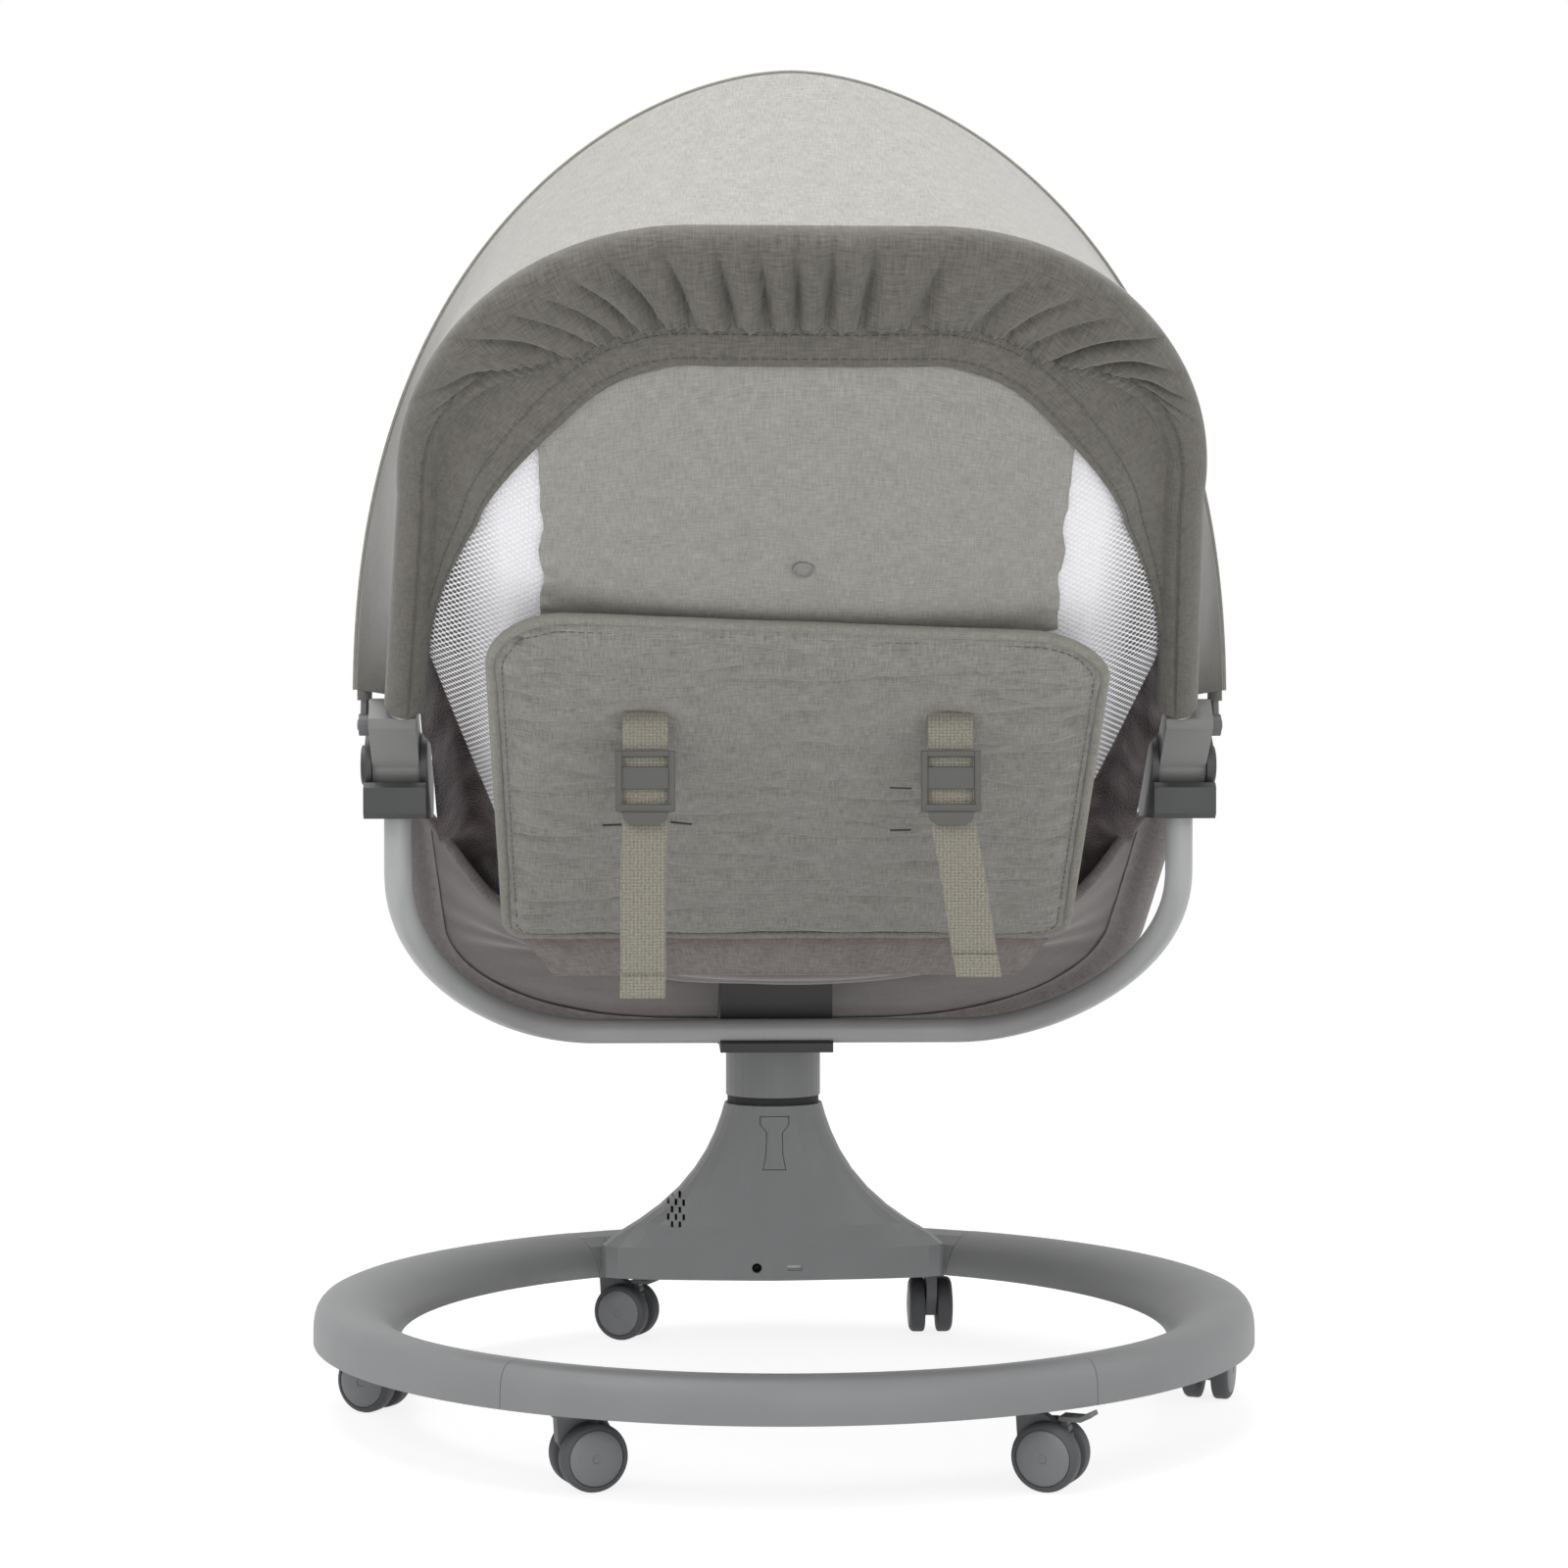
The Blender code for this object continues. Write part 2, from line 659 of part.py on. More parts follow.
def flare_front(drop):
    """How far the pedestal's front stands out from its axis."""
    full = PEDESTAL_HEIGHT - RING_HEIGHT
    rise = (FLARE_DEPTH - NECK_RADIUS) / (math.exp(full / FLARE_FALL) - 1)
    return NECK_RADIUS + rise * (math.exp(min(drop, full) / FLARE_FALL) - 1)


def flare_rear(drop):
    """How far the pedestal's rear stands out from its axis."""
    return NECK_RADIUS - REAR_LEAN * drop / PEDESTAL_HEIGHT


def flare_solid(inset, bottom, top):
    """Solid of the pedestal's flare, drawn in from its outer faces."""
    lowest = PEDESTAL_TOP - bottom
    drops = [drop * MM for drop in PEDESTAL_LEVELS if drop * MM > PEDESTAL_TOP - top + MM]
    drops = [PEDESTAL_TOP - top] + [drop for drop in drops if drop < lowest - MM] + [lowest]
    sections = []
    for drop in drops:
        half = flare_half_width(drop) - inset
        front = flare_front(drop) - inset
        rear = flare_rear(drop) - inset
        middle, depth = (rear - front) / 2, (rear + front) / 2
        power = blend_value(FLARE_POWERS, min(drop, PEDESTAL_HEIGHT) / PEDESTAL_HEIGHT)
        section = []
        for k in range(PEDESTAL_COLUMNS):
            angle = 2 * math.pi * k / PEDESTAL_COLUMNS
            cosine, sine = math.cos(angle), math.sin(angle)
            x = half * math.copysign(abs(cosine) ** (2 / power), cosine)
            y = depth * math.copysign(abs(sine) ** (2 / power), sine)
            bend = RING_MEAN_RADIUS - math.sqrt(RING_MEAN_RADIUS ** 2 - x * x)
            section.append((x, PEDESTAL_Y + middle + bend + y, PEDESTAL_TOP - drop))
        sections.append(section)
    return loft(list(reversed(sections)))


def latch_outline(grow):
    """Outline of the latch as x and height, from its upper left corner."""
    top = PEDESTAL_TOP - LATCH_DROP
    side = [(half + grow, top - LATCH_HEIGHT * share) for share, half in LATCH_OUTLINE]
    side[0] = (side[0][0], side[0][1] + grow)
    side[-1] = (side[-1][0], side[-1][1] - grow)
    return side + [(-x, z) for x, z in reversed(side)]


def latch_prism(grow, y_from, y_to):
    """Extrude the latch's outline along Y."""
    return loft([[(x, y, z) for x, z in latch_outline(grow)] for y in (y_from, y_to)])


def panel_prism(grow):
    """Window of the control panel, cut level through the pedestal's front."""
    half, up = PANEL_WIDTH / 2 + grow, PANEL_HEIGHT / 2 + grow
    middle = RING_BOTTOM + PANEL_UP + PANEL_HEIGHT / 2
    corner = 8 * MM
    outline = []
    for cx, cz, first in ((1, 1, 0), (-1, 1, 1), (-1, -1, 2), (1, -1, 3)):
        for k in range(4):
            angle = math.pi / 2 * (first + k / 3)
            x = cx * (half - corner) + corner * math.cos(angle)
            outline.append((x, middle + cz * (up - corner) + corner * math.sin(angle)))
    depths = (-FLARE_DEPTH * 1.5, -NECK_RADIUS / 2)
    return loft([[(x, PEDESTAL_Y + y, z) for x, z in outline] for y in depths])


def pedestal_shell():
    """Walls of the pedestal with the front arc of the ring."""
    outer_arc = ring_arc(ring_section(0, RING_BOTTOM), FRONT_SEAM_DEG + 0.05, 360 - FRONT_SEAM_DEG - 0.05, 10)
    shell = add_object("pedestal_shell", outer_arc)
    join(shell, flare_solid(0, RING_BOTTOM + 0.4 * MM, PEDESTAL_TOP))
    core_bottom = RING_BOTTOM - 5 * MM
    core_top = PEDESTAL_TOP - NECK_BORE_DEPTH
    section = ring_section(PEDESTAL_WALL, core_bottom)
    core = add_object("core", ring_arc(section, FRONT_SEAM_DEG - 1, 361 - FRONT_SEAM_DEG, 10))
    join(core, flare_solid(PEDESTAL_WALL, core_bottom + 0.4 * MM, core_top))
    tool = bmesh.new()
    tool.from_mesh(core.data)
    bpy.data.objects.remove(core)
    cut(shell, tool)
    return shell


def rear_face(drop):
    """Y of the pedestal's rear face in its middle."""
    return PEDESTAL_Y + flare_rear(drop)


def port_place(out):
    """Centre of a port in the rear wall's outer face."""
    z = RING_BOTTOM + PORT_HEIGHT
    return Vector((out, rear_face(PEDESTAL_TOP - z), z))


def build_pedestal(base, latch_empty, surfaces):
    """Pedestal housing, its latch and its control panel, which are cut from one shell."""
    shell = pedestal_shell()
    up = Vector((0, 0, 1))
    axis = Vector((0, PEDESTAL_Y, 0))

    panel = add_object("control_panel", shell.data.copy(), surfaces["dark_gloss"], base)
    keep_inside(panel, panel_prism(-SEAT_GAP))
    flare = flare_solid(0, RING_BOTTOM, PEDESTAL_TOP)
    latch = add_object("release_latch", flare, surfaces["shell"], latch_empty)
    face = PEDESTAL_Y + NECK_RADIUS - LATCH_THICKNESS - REAR_LEAN * 0.4
    keep_inside(latch, latch_prism(0, face, PEDESTAL_Y + NECK_RADIUS * 2))

    housing = add_object("pedestal_housing", shell.data.copy(), surfaces["shell"], base)
    bpy.data.objects.remove(shell)
    add_sockets(housing, FRONT_CASTERS)
    neck_floor = PEDESTAL_TOP - NECK_BORE_DEPTH - MM
    cut(housing, cylinder(axis + up * neck_floor, axis + up * (PEDESTAL_TOP + MM), NECK_BORE_RADIUS, 40))
    cut(housing, panel_prism(0))
    pocket_floor = face - LATCH_TRAVEL - SEAT_GAP
    cut(housing, latch_prism(SEAT_GAP, pocket_floor, PEDESTAL_Y + NECK_RADIUS * 2))
    jack = port_place(JACK_OUT)
    through = Vector((0, PEDESTAL_WALL * 3, 0))
    cut(housing, cylinder(jack - through, jack + through, JACK_HOLE_RADIUS, 16))
    data = port_place(DATA_PORT_OUT)
    half = Vector((DATA_PORT_SIZE[0] / 2, PEDESTAL_WALL * 3, DATA_PORT_SIZE[1] / 2))
    cut(housing, box(data - half, data + half))
    middle = Vector((SPEAKER_OUT, PEDESTAL_Y, RING_BOTTOM + SPEAKER_UP))
    slots = bmesh.new()
    for row, count in enumerate(SLOT_ROWS):
        z = middle.z + (row - (len(SLOT_ROWS) - 1) / 2) * SLOT_PITCH[1]
        for k in range(count):
            x = middle.x + (k - (count - 1) / 2) * SLOT_PITCH[0]
            place = Vector((x, PEDESTAL_Y + NECK_RADIUS, z))
            size = Matrix.Diagonal((SLOT_SIZE[0], 2 * NECK_RADIUS, SLOT_SIZE[1], 1))
            bmesh.ops.create_cube(slots, size=1, matrix=Matrix.Translation(place) @ size)
    cut(housing, slots)


def build_base(base, surfaces):
    """Ring pieces, bottom cover, bearings, coil, electronics and seal."""
    up = Vector((0, 0, 1))
    axis = Vector((0, PEDESTAL_Y, 0))
    pad = math.degrees(SEAT_GAP / 2 / RING_MEAN_RADIUS)
    arcs = (
        ("base_ring_left", REAR_SEAM_DEG + pad, FRONT_SEAM_DEG - pad, 12, (1,)),
        ("base_ring_rear", -REAR_SEAM_DEG + pad, REAR_SEAM_DEG - pad, 8, (0, 5)),
        ("base_ring_right", 360 - FRONT_SEAM_DEG + pad, 360 - REAR_SEAM_DEG - pad, 12, (4,)),
    )
    for name, first, last, steps, casters in arcs:
        arc = add_object(name, ring_arc(channel_section(), first, last, steps), surfaces["shell"], base)
        add_sockets(arc, casters)

    cover_bottom = RING_BOTTOM + COVER_RECESS
    inset = PEDESTAL_WALL + SEAT_GAP
    wing_low, wing_high = cover_bottom + 0.3 * MM, COVER_TOP - 0.3 * MM
    wing_outer, wing_inner = RING_OUTER_RADIUS - inset - MM, RING_INNER_RADIUS + inset + 3 * MM
    section = [(wing_outer, wing_low), (wing_outer, wing_high),
               (wing_inner, wing_high), (wing_inner, wing_low)]
    wings = ring_arc(section, FRONT_SEAM_DEG + 0.4, 359.6 - FRONT_SEAM_DEG, 10)
    cover = add_object("pedestal_bottom_cover", wings, surfaces["dark"], base)
    plate = flare_solid(inset, cover_bottom, COVER_TOP)
    join(cover, plate)
    for number in FRONT_CASTERS:
        place = caster_place(number)
        hole = cylinder(place - up * MM, place + up * 10 * MM, STEM_RADIUS + SOCKET_WALL + SEAT_GAP, 20)
        cut(cover, hole)

    shaft_hole = SHAFT_RADIUS + SEAT_GAP
    bearing_foot = COVER_TOP + SEAT_GAP
    journal_hole = JOURNAL_RADIUS + SEAT_GAP
    bearing_head = bearing_foot + BEARING_HEIGHT
    ring = [(journal_hole, bearing_foot), (LOWER_BEARING_RADIUS, bearing_foot),
            (LOWER_BEARING_RADIUS, bearing_head), (journal_hole, bearing_head)]
    add_object("lower_bearing", turned(ring, axis, 24), surfaces["steel"], base)
    bearing_top = PEDESTAL_TOP - 3 * MM
    outer = NECK_BORE_RADIUS - SEAT_GAP
    ring = [(shaft_hole, bearing_top - BEARING_HEIGHT), (outer, bearing_top - BEARING_HEIGHT),
            (outer, bearing_top), (shaft_hole, bearing_top)]
    add_object("upper_bearing", turned(ring, axis, 28), surfaces["steel"], base)
    seal_foot = PEDESTAL_TOP + SEAT_GAP
    ring = [(SEAL_BORE_RADIUS, seal_foot), (SEAL_RADIUS, seal_foot),
            (SEAL_RADIUS, seal_foot + SEAL_HEIGHT), (SEAL_BORE_RADIUS, seal_foot + SEAL_HEIGHT)]
    add_object("collar_seal", turned(ring, axis, 32), surfaces["black_rubber"], base)

    coil_at = axis + Vector((0, -ARM_LENGTH, COVER_TOP + SEAT_GAP))
    ring = [(COIL_RADIUS / 2, 0), (COIL_RADIUS, 0),
            (COIL_RADIUS, COIL_HEIGHT), (COIL_RADIUS / 2, COIL_HEIGHT)]
    add_object("drive_coil", turned(ring, coil_at, 16), surfaces["copper"], base)

    board_at = Vector((-BOARD_OUT, PEDESTAL_Y - BOARD_BACK, COVER_TOP + SEAT_GAP))
    half = Vector((BOARD_SIZE[0] / 2, BOARD_SIZE[1] / 2, 0))
    board_top = Vector((0, 0, BOARD_SIZE[2]))
    plate = box(board_at - half, board_at + half + board_top)
    board = add_object("circuit_board", plate, surfaces["board"], base)
    for right, rear, size in CHIPS_MM:
        chip = board_at + Vector((right * MM, rear * MM, BOARD_SIZE[2] / 2))
        reach = Vector((size / 2 * MM, size / 2 * MM, 0))
        join(board, box(chip - reach, chip + reach + Vector((0, 0, CHIP_HEIGHT))))

    speaker_at = Vector((SPEAKER_OUT, PEDESTAL_Y, RING_BOTTOM + SPEAKER_UP))
    back = Vector((0, NECK_RADIUS * 2, 0))
    front = Vector((0, 4 * MM, 0))
    driver = cylinder(speaker_at + front, speaker_at + back, SPEAKER_RADIUS, 24)
    speaker = add_object("speaker", driver, surfaces["black_rubber"], base)
    inside = flare_solid(PEDESTAL_WALL + SPEAKER_GAP, RING_BOTTOM + MM, PEDESTAL_TOP - NECK_BORE_DEPTH)
    keep_inside(speaker, inside)

    jack = port_place(JACK_OUT) - Vector((0, PEDESTAL_WALL + PORT_SETBACK, 0))
    deep = Vector((0, JACK_DEPTH, 0))
    barrel = cylinder(jack - deep, jack, JACK_BODY_RADIUS, 20)
    body = add_object("dc_jack", barrel, surfaces["black_rubber"], base)
    cut(body, cylinder(jack - deep * 0.75, jack + deep, JACK_HOLE_RADIUS - SEAT_GAP, 16))
    join(body, cylinder(jack - deep * 0.9, jack - deep * 0.15, JACK_PIN_RADIUS, 8))
    data = port_place(DATA_PORT_OUT) - Vector((0, PEDESTAL_WALL + PORT_SETBACK, 0))
    half = Vector((DATA_PORT_BODY[0] / 2, 0, DATA_PORT_BODY[2] / 2))
    depth = Vector((0, DATA_PORT_BODY[1], 0))
    body = add_object("usb_port", box(data - half - depth, data + half), surfaces["steel"], base)
    mouth = Vector((DATA_PORT_SIZE[0] / 2 - SEAT_GAP, 0, DATA_PORT_SIZE[1] / 2 - SEAT_GAP))
    cut(body, box(data - mouth - depth * 0.7, data + mouth + depth))


# Casters

def caster_meshes(surfaces):
    """Fork, wheel pair and brake lever, with the stem's foot as their origin and the trail to +X."""
    axle_z = WHEEL_RADIUS - CASTER_HEIGHT
    hub_top = -SEAT_GAP
    hub_bottom = -SEAT_GAP - HUB_HEIGHT
    fork = add_object("fork_pattern", cylinder((0, 0, hub_bottom), (0, 0, hub_top), HUB_RADIUS, 20))
    join(fork, cylinder((0, 0, hub_top - MM), (0, 0, STEM_LENGTH), STEM_RADIUS, 16))
    half = WEB_WIDTH / 2
    low = axle_z - AXLE_RADIUS - 4 * MM
    trail = CASTER_TRAIL
    outline = ((-HUB_RADIUS * 0.8, hub_bottom + MM), (-HUB_RADIUS * 0.7, axle_z + 8 * MM),
               (trail - 8 * MM, low), (trail + 6 * MM, low),
               (trail + 13 * MM, axle_z + 4 * MM), (trail + 12 * MM, axle_z + 12 * MM),
               (HUB_RADIUS * 0.9, hub_bottom + MM))
    join(fork, loft([[(x, y, z) for x, z in outline] for y in (-half, half)]))
    pivot = Vector((trail + BRAKE_PIVOT_OUT, 0, axle_z + BRAKE_PIVOT_UP))
    side = Vector((0, WEB_WIDTH, 0))
    cut(fork, cylinder(pivot - side, pivot + side, BRAKE_PIVOT_RADIUS + SEAT_GAP, 16))
    tab_floor = axle_z + BRAKE_TAB_LIFT
    cut(fork, box((pivot.x - 1.8 * MM, -WEB_WIDTH, pivot.z), (pivot.x + 3 * BRAKE_TAB_LENGTH, WEB_WIDTH, 0)))
    axle = Vector((trail, 0, axle_z))
    cut(fork, cylinder(axle - side, axle + side, AXLE_RADIUS + SEAT_GAP, 16))

    inner = WHEEL_SLOT / 2
    outer = inner + WHEEL_WIDTH
    half_profile = [(WHEEL_RADIUS - 2.5 * MM, -outer), (WHEEL_RADIUS, -outer + 2.5 * MM),
                    (WHEEL_RADIUS, -inner), (AXLE_RADIUS, -inner)]
    profile = half_profile + [(r, -h) for r, h in reversed(half_profile)]
    sections = []
    count = 20
    for radius, height in profile:
        sections.append([(trail + x, height, axle_z + z) for x, z in circle(radius, count, 0)])
    wheels = add_object("wheel_pattern", loft(sections))

    brake = add_object("brake_pattern", cylinder(pivot - side / 2, pivot + side / 2, BRAKE_PIVOT_RADIUS, 16))
    neck_half = WEB_WIDTH / 2 - SEAT_GAP
    neck = ((pivot.x - 1.2 * MM, pivot.z), (pivot.x + 1.8 * MM, pivot.z),
            (pivot.x + 3 * MM, tab_floor + MM), (pivot.x - 1.2 * MM, tab_floor + MM))
    join(brake, loft([[(x, y, z) for x, z in neck] for y in (-neck_half, neck_half)]))
    tab_top = tab_floor + BRAKE_TAB_THICKNESS
    rise = 3 * MM
    far = pivot.x + BRAKE_TAB_LENGTH
    tab = ((pivot.x - 1.6 * MM, tab_floor), (far - 6 * MM, tab_floor), (far, tab_floor + rise),
           (far - MM, tab_top + rise), (far - 7 * MM, tab_top), (pivot.x - 1.6 * MM, tab_top))
    wide = BRAKE_TAB_WIDTH / 2
    join(brake, loft([[(x, y, z) for x, z in tab] for y in (-wide, wide)]))
    meshes = {}
    patterns = (("fork", fork, "caster"), ("wheels", wheels, "tyre"), ("brake", brake, "caster"))
    for key, pattern, surface in patterns:
        mesh = pattern.data
        bpy.data.objects.remove(pattern)
        mesh.materials.clear()
        mesh.materials.append(surfaces[surface])
        mesh.shade_smooth()
        mesh.set_sharp_from_angle(angle=math.radians(40))
        meshes[key] = mesh
    return meshes, axle, pivot


def build_casters(base, surfaces):
    """Place the six casters, each on its own swivel, axle and brake pivot."""
    meshes, axle, pivot = caster_meshes(surfaces)
    for number, heading in enumerate(CASTER_HEADINGS_DEG):
        label = f"caster_{number + 1}"
        swivel = add_empty(f"{label}_swivel", caster_place(number), base, math.radians(heading))
        for key, centre in (("fork", Vector()), ("wheels", axle), ("brake", pivot)):
            joint = bpy.data.objects.new(f"{label}_{key}_axis", None)
            bpy.context.collection.objects.link(joint)
            joint.parent = swivel
            joint.location = centre
            piece = bpy.data.objects.new(f"{label}_{key}", meshes[key])
            bpy.context.collection.objects.link(piece)
            piece.parent = joint
            piece.location = -centre
    bpy.context.view_layer.update()


# Seat frame

def carrier_path():
    """Centre line of the carrier tube from one joint housing to the other."""
    top = JOINT_Z - HOUSING_DROP + CARRIER_END
    bend_top = CARRIER_RUN_Z + CARRIER_BEND
    stand = JOINT_Z - CARRIER_STAND
    back = JOINT_Y + CARRIER_SETBACK

    def depth(z):
        share = min(1.0, max(0.0, (z - CARRIER_RUN_Z) / (stand - CARRIER_RUN_Z)))
        return CARRIER_RUN_Y + (back - CARRIER_RUN_Y) * math.sin(math.pi / 2 * share)

    levels = (top, (top + stand) / 2, stand, (stand + bend_top) / 2)
    side = [Vector((JOINT_OUT, depth(z), z)) for z in levels]
    steps = CORNER_STEPS
    for k in range(steps + 1):
        angle = math.pi / 2 * k / steps
        x = JOINT_OUT - CARRIER_BEND * (1 - math.cos(angle))
        z = bend_top - CARRIER_BEND * math.sin(angle)
        side.append(Vector((x, depth(z), z)))
    mirrored = [Vector((-p.x, p.y, p.z)) for p in reversed(side)]
    return side + mirrored


def build_swing(swing, surfaces):
    """Everything that turns on the swing shaft, up to the joint housings."""
    up = Vector((0, 0, 1))
    axis = Vector((0, PEDESTAL_Y, 0))
    shaft_foot = COVER_TOP + SEAT_GAP
    step = shaft_foot + JOURNAL_HEIGHT
    shaft = add_object("swing_shaft", cylinder(axis + up * step, axis + up * COLLAR_TOP, SHAFT_RADIUS, 28),
                       surfaces["steel"], swing)
    join(shaft, cylinder(axis + up * shaft_foot, axis + up * (step + MM), JOURNAL_RADIUS, 20))

    arm_foot = COVER_TOP + SEAT_GAP + COIL_HEIGHT + 4 * MM
    arm = add_object("magnet_arm", cylinder(axis + up * arm_foot, axis + up * (arm_foot + 2 * ARM_HEIGHT),
                                            ARM_HUB_RADIUS, 24), surfaces["dark"], swing)
    low = axis + Vector((-ARM_WIDTH / 2, -ARM_LENGTH, arm_foot + MM))
    high = axis + Vector((ARM_WIDTH / 2, 0, arm_foot + ARM_HEIGHT))
    join(arm, box(low, high))
    magnet = axis + Vector((0, -ARM_LENGTH, arm_foot - 3 * MM))
    half = Vector((MAGNET_SIZE / 2, MAGNET_SIZE / 2, 0))
    join(arm, box(magnet - half, magnet + half + up * (ARM_HEIGHT + 6 * MM)))
    cut(arm, cylinder(axis + up * (arm_foot - 5 * MM), axis + up * (arm_foot + 3 * ARM_HEIGHT),
                      SHAFT_RADIUS + SEAT_GAP, 32))

    bore = SHAFT_RADIUS + SEAT_GAP
    hollow = COLLAR_RADIUS - COLLAR_WALL
    roof = COLLAR_TOP - COLLAR_ROOF
    profile = [(COLLAR_RADIUS, COLLAR_BOTTOM), (COLLAR_RADIUS, COLLAR_TOP), (bore, COLLAR_TOP), (bore, roof),
               (hollow, roof), (hollow, COLLAR_BOTTOM)]
    add_object("swing_collar", turned(profile, axis, 32), surfaces["shell"], swing)

    foot = COLLAR_TOP + SEAT_GAP
    rear = CARRIER_RUN_Y + TUBE_RADIUS
    saddle = CARRIER_RUN_Y - TUBE_RADIUS
    tip = leg_point(0, LEG_LENGTH, 0)
    chin = tip.z - TUBE_RADIUS - BRACKET_CHIN
    chin_rear = PEDESTAL_Y - COLLAR_RADIUS - 3 * MM
    under = SLING_THICKNESS / 2 + BRACKET_CLEARANCE
    rear_reach = (JOINT_Y - saddle) / math.cos(LEG_SLOPE)
    front_reach = LEG_LENGTH - TUBE_RADIUS * 2
    top_rear = leg_point(0, rear_reach, blend_value(SEAT_SAG, rear_reach) + under)
    top_front = leg_point(0, front_reach, blend_value(SEAT_SAG, front_reach) + under)
    outline = ((rear, foot), (rear, foot + BRACKET_LIP),
               (saddle + 2 * MM, CARRIER_RUN_Z + TUBE_RADIUS * 0.6),
               (top_rear.y, top_rear.z - 2 * MM), (top_rear.y - 2 * MM, top_rear.z - MM),
               (top_front.y, top_front.z), (tip.y + TUBE_RADIUS * 0.7, tip.z),
               (tip.y - BRACKET_NOSE, tip.z), (tip.y - BRACKET_NOSE, chin),
               (chin_rear, chin), (chin_rear, foot))
    half = BRACKET_WIDTH / 2
    bracket = add_object("seat_bracket", prism_x(outline, -half, half), surfaces["dark"], swing)
    groove = TUBE_RADIUS + SEAT_GAP
    run = Vector((BRACKET_WIDTH, CARRIER_RUN_Y, CARRIER_RUN_Z))
    cut(bracket, cylinder(run, (-run.x, run.y, run.z), groove, 20))
    front = Vector((BRACKET_WIDTH, tip.y, tip.z))
    cut(bracket, cylinder(front, (-front.x, front.y, front.z), groove, 20))

    tube("carrier_tube", carrier_path(), TUBE_RADIUS, surfaces["tube"], swing)
    leg_path = [leg_point(half, reach, 0) for half, reach in loop_outline(LEG_LOOP, LEG_TUBE_START)]
    tube("leg_frame_tube", leg_path, TUBE_RADIUS, surfaces["tube"], swing)


